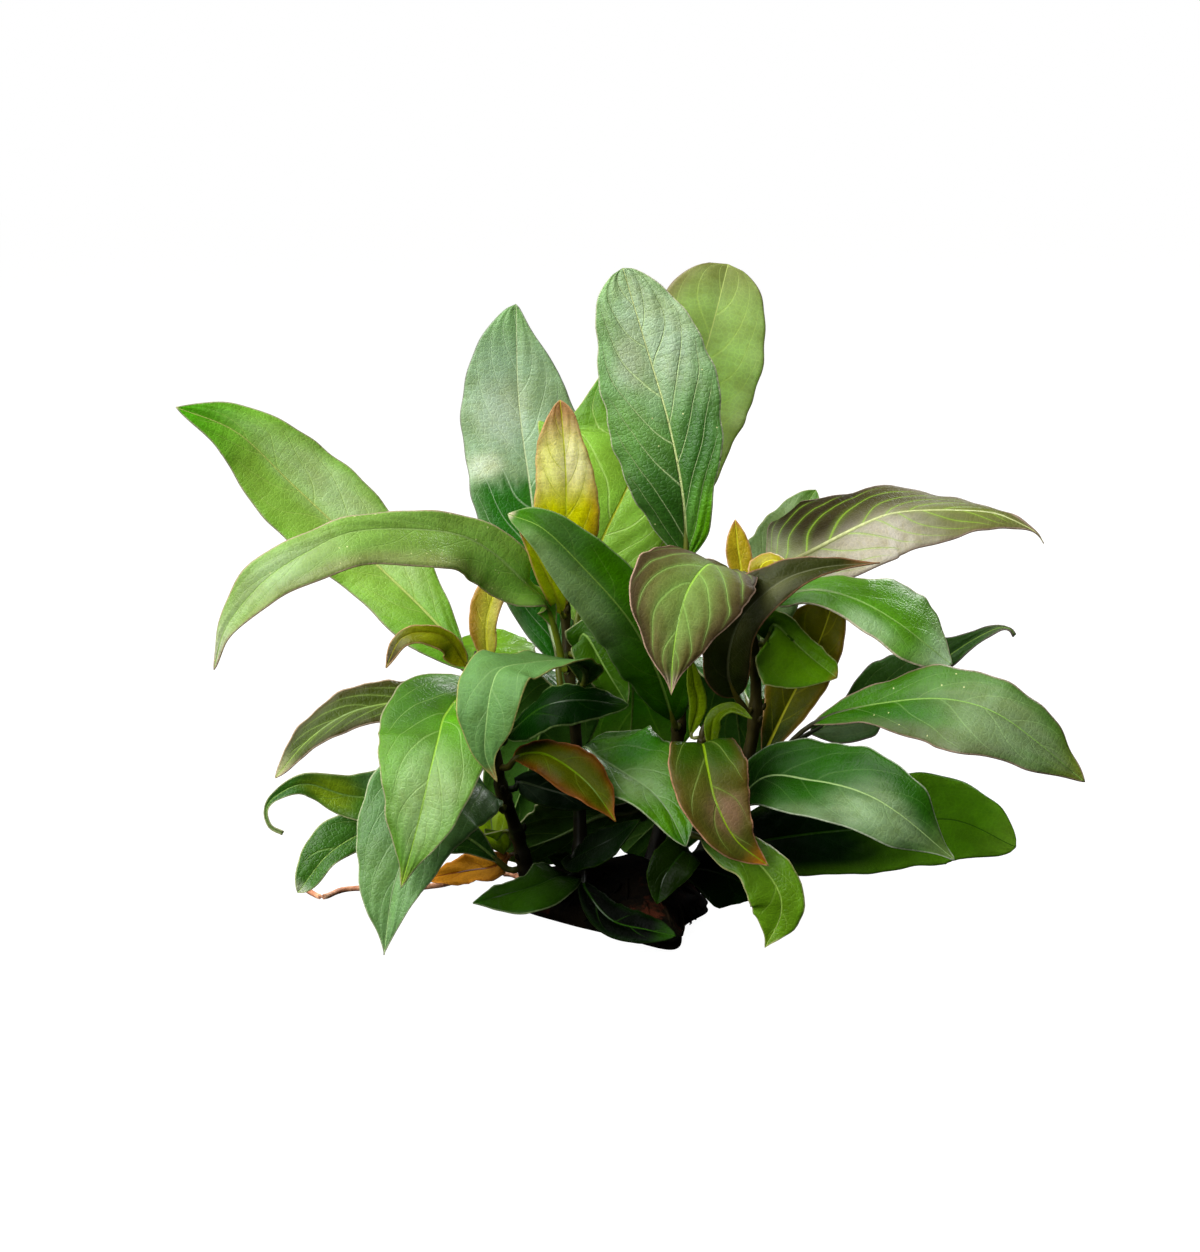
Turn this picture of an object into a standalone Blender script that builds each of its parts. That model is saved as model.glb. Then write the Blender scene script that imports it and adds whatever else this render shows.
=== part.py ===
"""Clump of emersed hygrophila: stems on a woody rootstock that is cut off flat at the ground, with
every leaf a thin solid of its own, a withered leaf and one stray root.

Lengths are millimetres until MM turns them into Blender's metres. +X is right, +Y away from the
viewer, +Z up. The origin is in the flat cut under the rootstock, at ground level. The rootstock
carries the stems and the root, and each stem carries its leaves, whose own origins are where
their stalks begin.
"""

import math
from dataclasses import dataclass

import bmesh
import bpy
from mathutils import Vector

MM = 0.001

# A plant has no chain of dimensions, so it is laid out on a front elevation that is drawn in
# perspective. A place on it is (across, up, depth): millimetres right of and above the sheet's
# centre, and how far behind the sheet the point really lies.
SHEET_CENTRE = Vector((-6.0, -7.0, 76.0))
EYE_DISTANCE = 700.0
EYE_TILT = math.radians(10.0)
VIEW_AXIS = Vector((0.0, math.cos(EYE_TILT), -math.sin(EYE_TILT)))
SHEET_UP = Vector((0.0, math.sin(EYE_TILT), math.cos(EYE_TILT)))
EYE = SHEET_CENTRE - EYE_DISTANCE * VIEW_AXIS

LEAF_THICKNESS = 2.0  # of a stalk; a blade takes the shares below
MIDRIB_SHARE = 0.5
MARGIN_SHARE = 0.22
STALK_WIDTH = 2.4
ROW_CROWDING = 0.45
STEM_GAP = 0.5  # between a stalk and its stem
SOCKET_GAP = 0.3  # between a stem and the rootstock
NODE_SWELLING = 1.25  # a stem is this much thicker where leaves leave it
NODE_REACH = 3.0
STEM_POINTS = 13
SOCKET_POINTS = 4  # the stem points that a socket reaches along
ROOT_POINTS = 13
SPINE_POINTS = 60  # of a midrib, before the blade is laid on it
TUBE_ROUNDNESS = 1
WELD = 1e-6

# The rootstock's plan, (x, y) of the corners of a smooth outline, and its rings: the share of the plan
# and the height of each.
ROOTSTOCK_PLAN = [(10, -34), (16, -17), (21, 3), (14, 18), (1, 27), (-15, 20), (-28, 5), (-10, -15)]
ROOTSTOCK_RINGS = [(0.97, 0), (1.0, 2.8), (0.92, 6.0), (0.72, 9.4), (0.42, 12.0)]
ROOTSTOCK_TOP = 13.0
ROOTSTOCK_SIDES = 24
ROOTSTOCK_LUMPS = 0.05  # how far its lumps stand out, as a share
SIDE_LUMPS = 5
TOP_LUMPS = 3
LUMP_TWIST = 1.3  # radians from one ring to the next
ROOT_RADIUS = 1.0

BROAD_GRID = (4, 10)
FULL_GRID = (4, 7)
YOUNG_GRID = (2, 6)

LOOKS = {
    "leaf_green": (0.05, 0.17, 0.03, 0.40),
    "leaf_bright": (0.13, 0.32, 0.03, 0.45),
    "leaf_bronze": (0.13, 0.09, 0.05, 0.45),
    "leaf_young": (0.42, 0.33, 0.04, 0.45),
    "leaf_withered": (0.42, 0.16, 0.03, 0.80),
    "stem": (0.10, 0.05, 0.02, 0.55),
    "rootstock": (0.03, 0.02, 0.012, 0.90),
    "root": (0.50, 0.27, 0.15, 0.60),
}


@dataclass
class Stem:
    """A stem from the rootstock to its growing tip."""

    name: str
    path: list
    radius: float = 1.9
    tip_radius: float = 1.1


@dataclass
class Leaf:
    """A leaf. It leaves its stem at a share of the stem's length, and its midrib runs through path
    to the tip. face is the way the upper side looks, from the base to the tip."""

    name: str
    stem: str
    at: float
    path: list
    width: float
    look: str = "leaf_green"
    face: tuple = ((0.0, -1.0, 0.3), (0.0, -1.0, 0.3))
    peak: float = 0.52  # where the blade is widest, as a share of the length
    fullness: float = 1.6  # 1 is an ellipse, 2 a lens
    left: tuple = (1, 1)  # the left half's share of its full width, at even steps to the tip
    right: tuple = (1, 1)
    fold: float = 12.0  # degrees that each half rises from the midrib
    curl: float = -0.12  # how far the margins bend back, as a share of the half width
    stalk: float = 0.12  # share of the length that is bare stalk
    tip: float = 0.5
    grid: tuple = FULL_GRID


STEMS = [
    Stem("stem_left", [(-16.5, -69, 12), (-21, -51, 8), (-24.5, -41, 4), (-28, -23, 1), (-30.5, -10, 0)]),
    Stem("stem_centre_left", [(-5, -69, 6), (-5, -51, 6), (-6, -28, 7), (-8, -8, 8), (-9, 9, 8)]),
    Stem("stem_centre", [(10, -68, 14), (15, -51, 16), (19, -31, 17), (21, -9, 16), (22.5, 15, 13)], 2.1),
    Stem("stem_right", [(21, -66, 14), (29, -50, 12), (36, -36, 9), (39, -18, 6), (36.7, 9.5, 0)], 2.1),
    Stem("stem_front", [(15, -72, -6), (20, -52, -11), (24, -38, -14), (25.5, -28, -15)], 1.5, 0.9),
]

LEAVES = [
    # Tall leaves at the top
    Leaf("leaf_tall_centre", "stem_centre", 0.94,
         [(21.5, 20, 9), (20.5, 34, 6), (17, 51.5, 8), (11.5, 70, 12), (5.7, 89.5, 16)], 30.8,
         face=((-0.1, -1, 0.1), (-0.2, -1, 0.25)), peak=0.58, fullness=1.2, fold=9,
         left=(1, 1, 1, 0.95, 0.93, 1.2), right=(0.9, 0.66, 0.86, 0.98, 1, 0.9),
         grid=BROAD_GRID),
    Leaf("leaf_tall_right", "stem_centre", 0.82,
         [(20, 14, 20), (19, 34, 27), (21.5, 54, 32), (27, 71, 35), (32, 90.5, 36)], 31, "leaf_bright",
         face=((0, -1, 0.1), (0.1, -1, 0.1)), peak=0.72, fullness=1.5, fold=8,
         left=(1, 1, 1, 1, 1.08, 1.15), right=(1, 0.85, 1, 1.05, 0.98, 1), grid=BROAD_GRID),
    Leaf("leaf_tall_left", "stem_centre_left", 0.62,
         [(-11, -7, 11), (-14.5, 8, 16), (-17, 31, 24), (-20.3, 56, 30), (-21, 80.5, 32)], 29.8,
         face=((0.1, -1, 0.1), (0, -1, 0.1)), peak=0.62, fullness=1.45, fold=8,
         left=(1, 1, 1.02, 1.04, 1.12, 1.1), right=(1, 1.05, 1.2, 1.08, 0.92, 0.4), grid=BROAD_GRID),
    Leaf("leaf_centre_bright", "stem_centre_left", 0.80,
         [(-5, 6, 14), (0.5, 21.5, 18), (7.5, 36.5, 23), (11, 50, 27), (5.5, 70, 30)], 31, "leaf_bright",
         face=((-0.1, -1, 0.2), (0, -1, 0.1)), peak=0.58, fullness=1.4, fold=8,
         left=(1, 1, 1.35, 1.75, 1.6, 1)),
    Leaf("young_leaf_yellow", "stem_centre_left", 0.985,
         [(-8.5, 20, 1), (-8.5, 36.5, -4), (-9.3, 49, -7), (-10, 56.5, -8)], 18, "leaf_young",
         face=((0, -1, 0.2), (0, -1, 0.3)), peak=0.55, fullness=1.4, fold=14,
         left=(1, 1, 0.9, 0.85, 1, 1), right=(1, 1, 0.95, 0.82, 0.72, 1)),
    Leaf("young_leaf_strap", "stem_centre_left", 0.93,
         [(-11.5, 9, -5), (-16, 18, -12), (-20, 23.5, -15)], 6, "leaf_young",
         face=((0.2, -1, 0.2), (0.2, -1, 0.2)), grid=YOUNG_GRID),
    # Left side
    Leaf("leaf_far_left_high", "stem_left", 0.95,
         [(-40, -0.5, 10), (-57.5, 17, 20), (-77.5, 36, 24), (-91, 48.5, 22), (-106, 54.7, 18)], 25.5,
         "leaf_bright", face=((0.3, -0.8, 0.5), (0, -1, 0.4)), peak=0.50, fullness=1.65,
         stalk=0.05, left=(1.7, 0.87, 1.02, 1), right=(0.5, 0.97, 1.1, 1.05), grid=BROAD_GRID),
    Leaf("leaf_left_long", "stem_centre_left", 0.74,
         [(-13, 4.5, -2), (-19, 11, -10), (-27, 18.5, -15), (-36, 23, -20), (-50, 24.3, -28),
          (-62.7, 23.2, -34), (-72.3, 18.8, -36.5), (-81.5, 13.1, -38), (-89, 5.7, -39),
          (-94.2, -2, -39), (-96.5, -11, -38)],
         17, "leaf_bright", face=((-0.2, -0.6, 0.8), (-0.3, -0.8, 0.5), (-0.5, -0.9, 0.1)),
         peak=0.62, fullness=1.3, left=(1.2, 1.5, 1.45, 1.1, 0.85, 0.3),
         right=(1, 1.05, 0.62, 0.5, 0.76, 0.3), grid=BROAD_GRID),
    Leaf("young_leaf_left_curled", "stem_left", 0.99,
         [(-37.5, -3.5, -6), (-44, -1.5, -10), (-50, -3.5, -13), (-53.5, -10.5, -14)], 7.5, "leaf_young",
         face=((0, -0.6, 0.8), (-0.5, -0.8, 0.2)), left=(2, 1.3, 1, 1),
         right=(1, 0.6, 0.5, 0.7, 1), grid=YOUNG_GRID),
    Leaf("young_leaf_left_upright", "stem_left", 0.97,
         [(-28.5, 0, 3), (-26.5, 8, 5), (-22.5, 15, 7), (-18.5, 19.5, 9)], 9.5, "leaf_young",
         face=((0, -1, 0.1), (-0.2, -1, 0.1)), right=(1, 0.6, 0.7, 1), grid=YOUNG_GRID),
    Leaf("leaf_left_behind", "stem_left", 0.90,
         [(-28, -6, 12), (-27, -4.5, 24), (-26.5, -2.2, 34), (-26, -0.75, 42)], 23, "leaf_bright",
         face=((0, -0.3, 1), (0, -0.1, 1)), fullness=1.1, fold=4, curl=-0.2),
    Leaf("leaf_left_bronze", "stem_left", 0.74,
         [(-39, -17, -1), (-50, -18.7, -4), (-62.5, -21.5, -7), (-72.5, -28, -9), (-81.2, -38, -10)], 12.5,
         "leaf_bronze", face=((0, -0.6, 0.8), (-0.3, -0.8, 0.5)), fullness=1.5,
         left=(1, 1, 0.95, 0.85, 0.8, 1), right=(1, 1, 1.02, 1.02, 1)),
    Leaf("leaf_left_broad", "stem_left", 0.64,
         [(-33.5, -18.5, -9), (-38.5, -22, -20), (-40.5, -28.5, -32), (-42.7, -37, -38), (-45.2, -48, -40),
          (-49.7, -65.4, -39)], 27, "leaf_bright",
         face=((0, 0.1, 1), (-0.1, -1, 0.3), (-0.2, -1, 0.1)), peak=0.50, fullness=1.3, fold=8,
         left=(0.5, 0.6, 1, 0.9, 0.4), right=(0.6, 1.14, 1.1, 0.9, 0.4), grid=BROAD_GRID),
    Leaf("leaf_left_hook", "stem_left", 0.46,
         [(-37, -43, 4), (-50, -43, 3), (-62.5, -42.5, 0), (-73.7, -39.5, -2), (-81, -42.5, -3),
          (-83.5, -46, -3), (-82.5, -50, -3), (-79.2, -51.8, -3)],
         15, face=((0, -0.7, 0.7), (0, -0.8, 0.6), (-0.3, -1, 0.1), (0, -1, 0)), peak=0.34, fullness=2.6,
         tip=2.4, grid=BROAD_GRID),
    Leaf("leaf_left_low_outer", "stem_left", 0.14,
         [(-23, -61, 10), (-27, -57.5, 9), (-34, -52.5, 9), (-45, -49.5, 7), (-53, -49.7, 5),
          (-61, -52.5, 1), (-68.7, -57.8, -2), (-75.6, -66.7, -4)], 13.5,
         face=((-0.1, -0.8, 0.6), (-0.2, -1, 0.2)), peak=0.66, fullness=1.8, stalk=0.08,
         left=(1.6, 1.6, 1, 0.6, 0.55, 1), right=(1.3, 1.4, 1, 0.95, 1.15, 1)),
    Leaf("leaf_left_drooping", "stem_left", 0.44,
         [(-30, -39.5, -8), (-39, -41, -18), (-46.5, -50, -26), (-50, -60, -30), (-52.3, -68, -32),
          (-54, -82.3, -34)], 26, face=((0, -0.2, 1), (-0.1, -1, 0.2), (-0.1, -1, 0.1)), peak=0.43,
         fullness=1.8, fold=8, right=(1, 1, 1.2, 1.2, 1.3, 1), grid=BROAD_GRID),
    Leaf("leaf_left_low_bright", "stem_left", 0.30,
         [(-26.2, -53.5, 14), (-27.2, -48.5, 18), (-28, -41, 22)], 10, "leaf_bright",
         face=((0.3, -1, 0.1), (0.2, -1, 0.2)), grid=YOUNG_GRID),
    Leaf("leaf_withered", "stem_left", 0.20,
         [(-26, -60, 16.5), (-33, -61, 20), (-43.2, -63.2, 22)], 8, "leaf_withered",
         face=((0, -0.8, 0.6), (0, -0.8, 0.6)), fullness=1.1, grid=YOUNG_GRID),
    # Middle
    Leaf("leaf_centre_large", "stem_centre", 0.52,
         [(18.5, -24, 6), (14, -11, -8), (6.5, 2.5, -18), (-5.5, 16, -22), (-14.5, 24.5, -22),
          (-23, 28, -16)], 18.5,
         face=((-0.2, -1, 0.3), (-0.5, -0.7, 0.7)), peak=0.52, fullness=1.3, grid=BROAD_GRID),
    Leaf("leaf_centre_arched", "stem_centre_left", 0.65,
         [(-3.5, -12.5, -6), (-4.5, -9.5, -13), (-10, -8.3, -24), (-18, -9, -34), (-24.5, -10.5, -41),
          (-27, -15, -45), (-28.3, -23, -47), (-28.7, -32, -47), (-25.7, -39, -46)],
         18.5, face=((0.6, 0.1, 0.8), (0.2, 0, 1), (0, 0, 1), (-0.05, -0.1, 1), (-0.4, -0.7, 0.5),
                     (-0.2, -1, 0.2), (-0.2, -1, 0.1)),
         peak=0.60, fullness=1.5, fold=6, curl=-0.06,
         left=(1, 1, 1, 1, 0.95, 0.3), right=(1, 1, 1, 1, 0.95, 0.3), grid=BROAD_GRID),
    Leaf("leaf_centre_shaded", "stem_left", 0.69,
         [(-22, -26, -3), (-14, -20, -9), (-5, -18.3, -11), (7.2, -19.8, -10)], 14,
         face=((0, -0.6, 0.8), (0, -0.6, 0.8)), fullness=1.3, fold=-8),
    Leaf("leaf_centre_small", "stem_centre_left", 0.80,
         [(-4, -2, 3), (1, -10, 1), (6.8, -19.6, 0)], 12,
         face=((0.1, -0.9, 0.4), (0.1, -0.9, 0.3))),
    Leaf("leaf_centre_amber", "stem_left", 0.60,
         [(-20.5, -32.5, -2), (-16, -31.7, -7), (-10.75, -33.5, -12), (-2.5, -39.75, -19),
          (4, -49, -22)], 12.5, "leaf_bronze",
         face=((0, -0.8, 0.6), (0.1, -0.9, 0.5)), peak=0.60, fullness=1.5,
         left=(1, 0.8, 0.85, 1, 0.9, 0.3), right=(1, 1, 1, 1, 0.85, 0.3)),
    Leaf("leaf_centre_under", "stem_left", 0.51,
         [(-20, -39, 3), (-14, -40.5, 2), (-7, -42.5, 0), (2, -45.5, -2)], 11,
         face=((0, -0.7, 0.7), (0, -0.7, 0.7)), peak=0.45),
    Leaf("leaf_centre_glossy", "stem_centre_left", 0.44,
         [(-4, -30, 0), (0, -33, -5), (6, -36.8, -10), (12, -40.5, -15.5), (17, -46, -20.5),
          (21.5, -55.2, -24)], 21,
         face=((0.3, -0.6, 0.8), (0.1, -0.9, 0.5)), peak=0.50, fullness=1.5,
         left=(1, 1.75, 1.35, 1.15, 1, 1), right=(0.85, 0.82, 0.82, 0.75, 0.75, 0.9), grid=BROAD_GRID),
    Leaf("leaf_centre_veined", "stem_right", 0.985,
         [(33.5, 13.5, -2), (30.5, 14.3, -8), (26.5, 15, -17), (21.5, 8, -27), (18.5, -5, -32),
          (17.8, -17.3, -33)], 29, "leaf_bronze", face=((0.3, 0.3, 1), (-0.1, -1, 0.1)), peak=0.53,
         fullness=1.7, fold=8, left=(1, 1, 1, 1, 0.8, 0.3), right=(1, 0.85, 0.95, 1, 0.8, 0.3),
         grid=BROAD_GRID),
    Leaf("young_leaf_front_upright", "stem_front", 0.99,
         [(24.5, -20, -15), (23.5, -14, -16), (22.5, -7.5, -17)], 4.5,
         face=((0.2, -1, 0.1), (0.2, -1, 0.1)), grid=YOUNG_GRID),
    Leaf("young_leaf_front_curled", "stem_front", 0.96,
         [(28.5, -23.5, -17), (33, -20.5, -19), (38, -23.2, -21)], 4.5,
         face=((0, -0.6, 0.8), (0.2, -0.6, 0.8)), grid=YOUNG_GRID),
    Leaf("leaf_centre_low_bronze", "stem_front", 0.86,
         [(25.5, -29.5, -22), (27, -36, -29), (29, -44, -33), (34, -53.5, -35), (42.2, -60, -34)], 19,
         "leaf_bronze", face=((0, 0, 1), (0, -1, 0.2)), peak=0.42, fullness=1.6, grid=BROAD_GRID),
    # Right side
    Leaf("young_leaf_right_upright", "stem_right", 0.99,
         [(35, 16, 4), (34.3, 21, 4), (33.8, 26.6, 4)], 6.5, "leaf_young",
         face=((0, -1, 0.1), (0, -1, 0.1)), grid=YOUNG_GRID),
    Leaf("young_leaf_right_curled", "stem_right", 0.97,
         [(40, 14.5, 0), (43.5, 16.5, -1), (47.5, 14.5, -2)], 6, "leaf_young",
         face=((0, -0.5, 0.9), (0.3, -0.5, 0.8)), grid=YOUNG_GRID),
    Leaf("leaf_right_top", "stem_right", 0.93,
         [(43.75, 13.5, 4), (55, 20.2, 8), (67.5, 26.5, 10), (75, 28.7, 10), (87.5, 29.2, 8), (98, 28.6, 5),
          (104.5, 26.2, 3), (109, 23.5, 2), (111, 20.6, 2)], 24, "leaf_bronze",
         face=((0, -0.55, 0.83), (0, -0.55, 0.83)), peak=0.46, fullness=1.6, fold=-20, curl=0, tip=1.6,
         left=(1, 2.3, 1.5, 1.05, 0.4, 0.2), right=(1, 1, 1, 0.9, 0.85, 0.05), grid=BROAD_GRID),
    Leaf("leaf_right_folded", "stem_right", 0.62,
         [(32, -12, -3), (34.5, 0.8, -10), (44, 10.3, -13), (55, 14.5, -12), (70, 15.8, -9)], 14.5,
         "leaf_bronze", face=((-0.3, -1, 0.2), (-0.3, -0.6, 0.7)), peak=0.40, fullness=1.9, fold=20),
    Leaf("leaf_right_behind", "stem_right", 0.76,
         [(42, 9, 16), (46.5, 20, 24), (50, 28, 31), (54, 34, 35)], 19,
         face=((-0.2, -0.9, 0.3), (-0.2, -0.9, 0.3)), fullness=1.3),
    Leaf("leaf_right_upper", "stem_right", 0.90,
         [(44, 7, -1), (54, 9.3, -4), (64, 6.8, -8), (74, 1.3, -11), (82, -4.7, -12),
          (88, -9.7, -12)], 18.5, face=((0, -0.6, 0.8), (0.3, -0.7, 0.6)), peak=0.58, fullness=1.35, fold=-8,
         left=(1, 0.75, 1, 1.6, 1.8, 1), right=(1, 0.6, 0.62, 0.75, 1, 1), grid=BROAD_GRID),
    Leaf("leaf_right_under", "stem_right", 0.82,
         [(43.5, 0.5, 2), (48, -3.5, 1.5), (53, -8, 0.5), (59.3, -13, -1)], 19,
         face=((0.2, -0.9, 0.4), (0.3, -0.9, 0.3)), peak=0.5, fullness=1.4,
         left=(1, 0.45, 0.4, 0.5, 1), right=(1, 1.2, 1.5, 1.35, 1)),
    Leaf("leaf_right_olive", "stem_right", 0.42,
         [(42, -30, 10), (47, -19.5, 12), (53, -8, 13), (57, 2, 13), (59, 10, 13)], 14, "leaf_young",
         face=((-0.3, -1, 0.1), (-0.3, -1, 0.1)), peak=0.6,
         left=(1, 1, 1.2, 1.6, 1.6, 1)),
    Leaf("leaf_right_far", "stem_right", 0.34,
         [(40, -36, 14), (48, -29.5, 19), (57.5, -24, 24), (67.5, -18.5, 28), (77.5, -14.5, 30),
          (88, -6.9, 30), (94, -3, 29), (99.5, -0.5, 28.5), (102.5, -0.8, 28), (103.7, -2.4, 28)], 20,
         face=((0, -0.7, 0.7), (0.1, -0.7, 0.7)), peak=0.54, fullness=1.9, stalk=0.3, tip=3,
         left=(0.5, 0.4, 1, 1.05, 0.6, 0.8), right=(1.3, 1.1, 0.3, 0.4, 0.6, 1), grid=BROAD_GRID),
    Leaf("leaf_right_large", "stem_right", 0.28,
         [(46, -31, -2), (52, -25.3, -6), (60, -21.2, -11), (75, -18.7, -19), (87.5, -18.5, -25),
          (99, -21.8, -31), (110.5, -29.8, -34), (121.2, -39, -34)], 23.5,
         face=((0, -0.6, 0.8), (0.3, -0.8, 0.5)), peak=0.71, fullness=1.7, stalk=0.35,
         left=(0.5, 0.65, 0.85, 0.75, 0.88, 0.6), right=(1.1, 0.8, 1.1, 1.4, 1.05, 0.5),
         grid=BROAD_GRID),
    Leaf("leaf_right_low_large", "stem_right", 0.22,
         [(40, -38.2, -12), (53, -38.5, -24), (65, -41.5, -33), (75, -47.2, -38), (88.7, -58.5, -38)], 23,
         face=((0, -0.6, 0.8), (0.2, -0.9, 0.4)), peak=0.60, fullness=1.4,
         left=(1, 1, 1, 1, 0.95, 0.35), right=(1, 1, 1, 1, 0.95, 0.35), grid=BROAD_GRID),
    Leaf("leaf_right_low_behind", "stem_right", 0.10,
         [(36, -55, 4), (52, -52, 2), (70, -50.3, 3), (88, -48.5, 2), (104, -55.3, -2)], 27, "leaf_bright",
         face=((0, -0.8, 0.6), (0.1, -0.8, 0.6)), peak=0.56, fullness=1.2,
         left=(1, 1, 1.18, 1.05, 1, 1), right=(1, 1, 0.95, 0.92, 1.2, 1), grid=BROAD_GRID),
    Leaf("leaf_front_low", "stem_front", 0.50,
         [(29, -54, -19), (38, -58, -25), (44.5, -66, -28), (45, -73, -28), (41.2, -80.4, -27)], 12,
         "leaf_bright", face=((0, -0.6, 0.8), (0, -1, 0.1)), peak=0.62,
         left=(1, 1, 1, 1, 1, 0.4), right=(1, 1, 1.1, 1.3, 1.4, 0.4)),
    # Around the foot
    Leaf("leaf_low_centre", "stem_front", 0.32,
         [(21.5, -56, -15), (19, -58.5, -18), (16, -63, -20), (14.2, -69.5, -21)], 11,
         face=((0, -0.8, 0.6), (0, -0.9, 0.4))),
    Leaf("leaf_low_pair", "stem_front", 0.28,
         [(22, -60.5, -6), (27, -61, -5), (33, -63, -4), (40.5, -67, -3)], 12,
         face=((0, -0.8, 0.6), (0, -0.9, 0.4)), fullness=1.2, left=(1, 1.1, 1), right=(1, 1.5, 1)),
    Leaf("leaf_low_left", "stem_centre_left", 0.10,
         [(-10.5, -62.5, -8), (-16, -64.8, -13), (-24, -67, -15), (-31.8, -69.3, -15)], 12,
         face=((0, -0.6, 0.8), (0, -0.6, 0.8)), left=(1, 1.2, 1.6, 1),
         right=(1, 1, 0.6, 1), grid=YOUNG_GRID),
    Leaf("leaf_low_shaded", "stem_centre_left", 0.17,
         [(-7, -58.5, -3), (-3, -56, -8), (3, -53, -12), (10, -48.5, -15)], 8,
         face=((0, -0.7, 0.7), (0, -0.7, 0.7))),
    Leaf("leaf_foot_front", "stem_centre_left", 0.12,
         [(-4, -62.5, -7), (-3.5, -66, -16), (3, -73.5, -26), (12, -76, -32), (19, -77.5, -35)], 9,
         face=((0, -0.8, 0.6), (0, -0.8, 0.6)), stalk=0.3, peak=0.7),
    Leaf("young_leaf_foot", "stem_centre_left", 0.16,
         [(-9.5, -58.5, 3), (-13, -57.5, 2)], 4, face=((0, -1, 0.2), (0, -1, 0.2)), grid=YOUNG_GRID),
    # The side away from the viewer
    Leaf("leaf_back_left", "stem_centre_left", 0.60,
         [(-10.5, -12, 30), (-12, -14, 48), (-16, -30, 60), (-24, -53, 60)], 31,
         face=((0, 0.3, 1), (-0.1, 0.9, 0.4)), peak=0.62),
    Leaf("leaf_back_right", "stem_right", 0.58,
         [(35, -12, 30), (34, -11, 40), (34, -19, 50), (36, -37, 57)], 31,
         face=((0, 0.3, 1), (0.2, 0.9, 0.4)), left=(1, 0.9, 0.85, 1)),
    Leaf("leaf_back_middle", "stem_centre", 0.64,
         [(14, -12, 34), (9, -12, 56), (8, -22, 74), (7, -40, 82)], 32, "leaf_bright",
         face=((0, 0.2, 1), (0, 1, 0.3)), peak=0.60,
         right=(1, 1.1, 1.15, 1)),
    Leaf("leaf_back_low", "stem_centre", 0.30,
         [(8, -46, 24), (0, -47, 32), (-11, -52.5, 38), (-25, -57.5, 38)], 27,
         face=((0, 0.3, 1), (0, 0.9, 0.4)), fullness=1.3),
    Leaf("leaf_back_low_right", "stem_right", 0.24,
         [(26, -44, 26), (21, -43, 40), (14, -49, 50), (6, -56.5, 52)], 30,
         face=((0, 0.3, 1), (0, 0.9, 0.4)), peak=0.68, fullness=1.2),
]

# The root lies on the ground. It leaves the rootstock's side at ROOT_START, an (x, y) place. Each point
# of ROOT is (across, up) on the sheet, followed down to the ground.
ROOT_START = (-23.6, 13.6)
ROOT = [(-22, -62), (-32, -63), (-42, -65), (-52, -65.5), (-59, -65.5), (-64.5, -66), (-69.5, -67.7),
        (-73.8, -65.7)]


def from_sheet(across, up, depth):
    """The place in space that is seen at (across, up) on the sheet and lies at this depth."""
    mark = SHEET_CENTRE + Vector((across, 0, 0)) + up * SHEET_UP
    ray = mark - EYE
    return EYE + ray * ((SHEET_CENTRE.y + depth - EYE.y) / ray.y)


def on_ground(across, up, height):
    """The place at this height that is seen at (across, up) on the sheet."""
    ray = SHEET_CENTRE + Vector((across, 0, 0)) + up * SHEET_UP - EYE
    return EYE + ray * ((height - EYE.z) / ray.z)


def smooth_points(points, count):
    """count points evenly spaced along the smooth curve through points, with the curve's direction
    at each."""
    ends = [2 * points[0] - points[1], *points, 2 * points[-1] - points[-2]]
    dense = []
    steps = 24
    for a, b, c, d in zip(ends, ends[1:], ends[2:], ends[3:]):
        for i in range(steps):
            t = i / steps
            dense.append(0.5 * (2 * b + (c - a) * t + (2 * a - 5 * b + 4 * c - d) * t**2
                                + (3 * b - a - 3 * c + d) * t**3))
    dense.append(points[-1])
    along = [0.0]
    for a, b in zip(dense, dense[1:]):
        along.append(along[-1] + (b - a).length)
    made = []
    k = 0
    for i in range(count):
        wanted = along[-1] * i / (count - 1)
        while k < len(along) - 2 and along[k + 1] < wanted:
            k += 1
        share = (wanted - along[k]) / max(along[k + 1] - along[k], 1e-9)
        made.append((dense[k].lerp(dense[k + 1], share), (dense[k + 1] - dense[k]).normalized()))
    return made


def stem_spine(stem, count=41):
    return smooth_points([from_sheet(*p) for p in stem.path], count)


def stem_radius(stem, share, nodes, length):
    """The stem tapers, and swells where leaves leave it."""
    radius = stem.radius + (stem.tip_radius - stem.radius) * share
    near = min((abs(share - n) * length for n in nodes), default=NODE_REACH)
    swelling = max(0.0, 1 - near / NODE_REACH)
    return radius * (1 + (NODE_SWELLING - 1) * swelling)


def tube(name, points, radii, look, collection):
    """A round bar through points, as a curve object with its origin at the first of them."""
    curve = bpy.data.curves.new(name, "CURVE")
    curve.dimensions = "3D"
    curve.bevel_depth = MM
    curve.bevel_resolution = TUBE_ROUNDNESS
    curve.use_fill_caps = True
    spline = curve.splines.new("POLY")
    spline.points.add(len(points) - 1)
    for target, point, radius in zip(spline.points, points, radii):
        target.co = (*((point - points[0]) * MM), 1)
        target.radius = radius
    bar = bpy.data.objects.new(name, curve)
    bar.location = points[0] * MM
    collection.objects.link(bar)
    if look:
        curve.materials.append(look)
    return bar


def to_mesh(bar, collection):
    """The curve object as a mesh object of the same name, with its caps welded."""
    graph = bpy.context.evaluated_depsgraph_get()
    mesh = bpy.data.meshes.new_from_object(bar.evaluated_get(graph))
    shape = bmesh.new()
    shape.from_mesh(mesh)
    bmesh.ops.remove_doubles(shape, verts=shape.verts, dist=WELD)
    shape.to_mesh(mesh)
    shape.free()
    name = bar.name
    matrix = bar.matrix_world.copy()
    bpy.data.objects.remove(bar)
    made = bpy.data.objects.new(name, mesh)
    made.matrix_world = matrix
    collection.objects.link(made)
    return made


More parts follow.
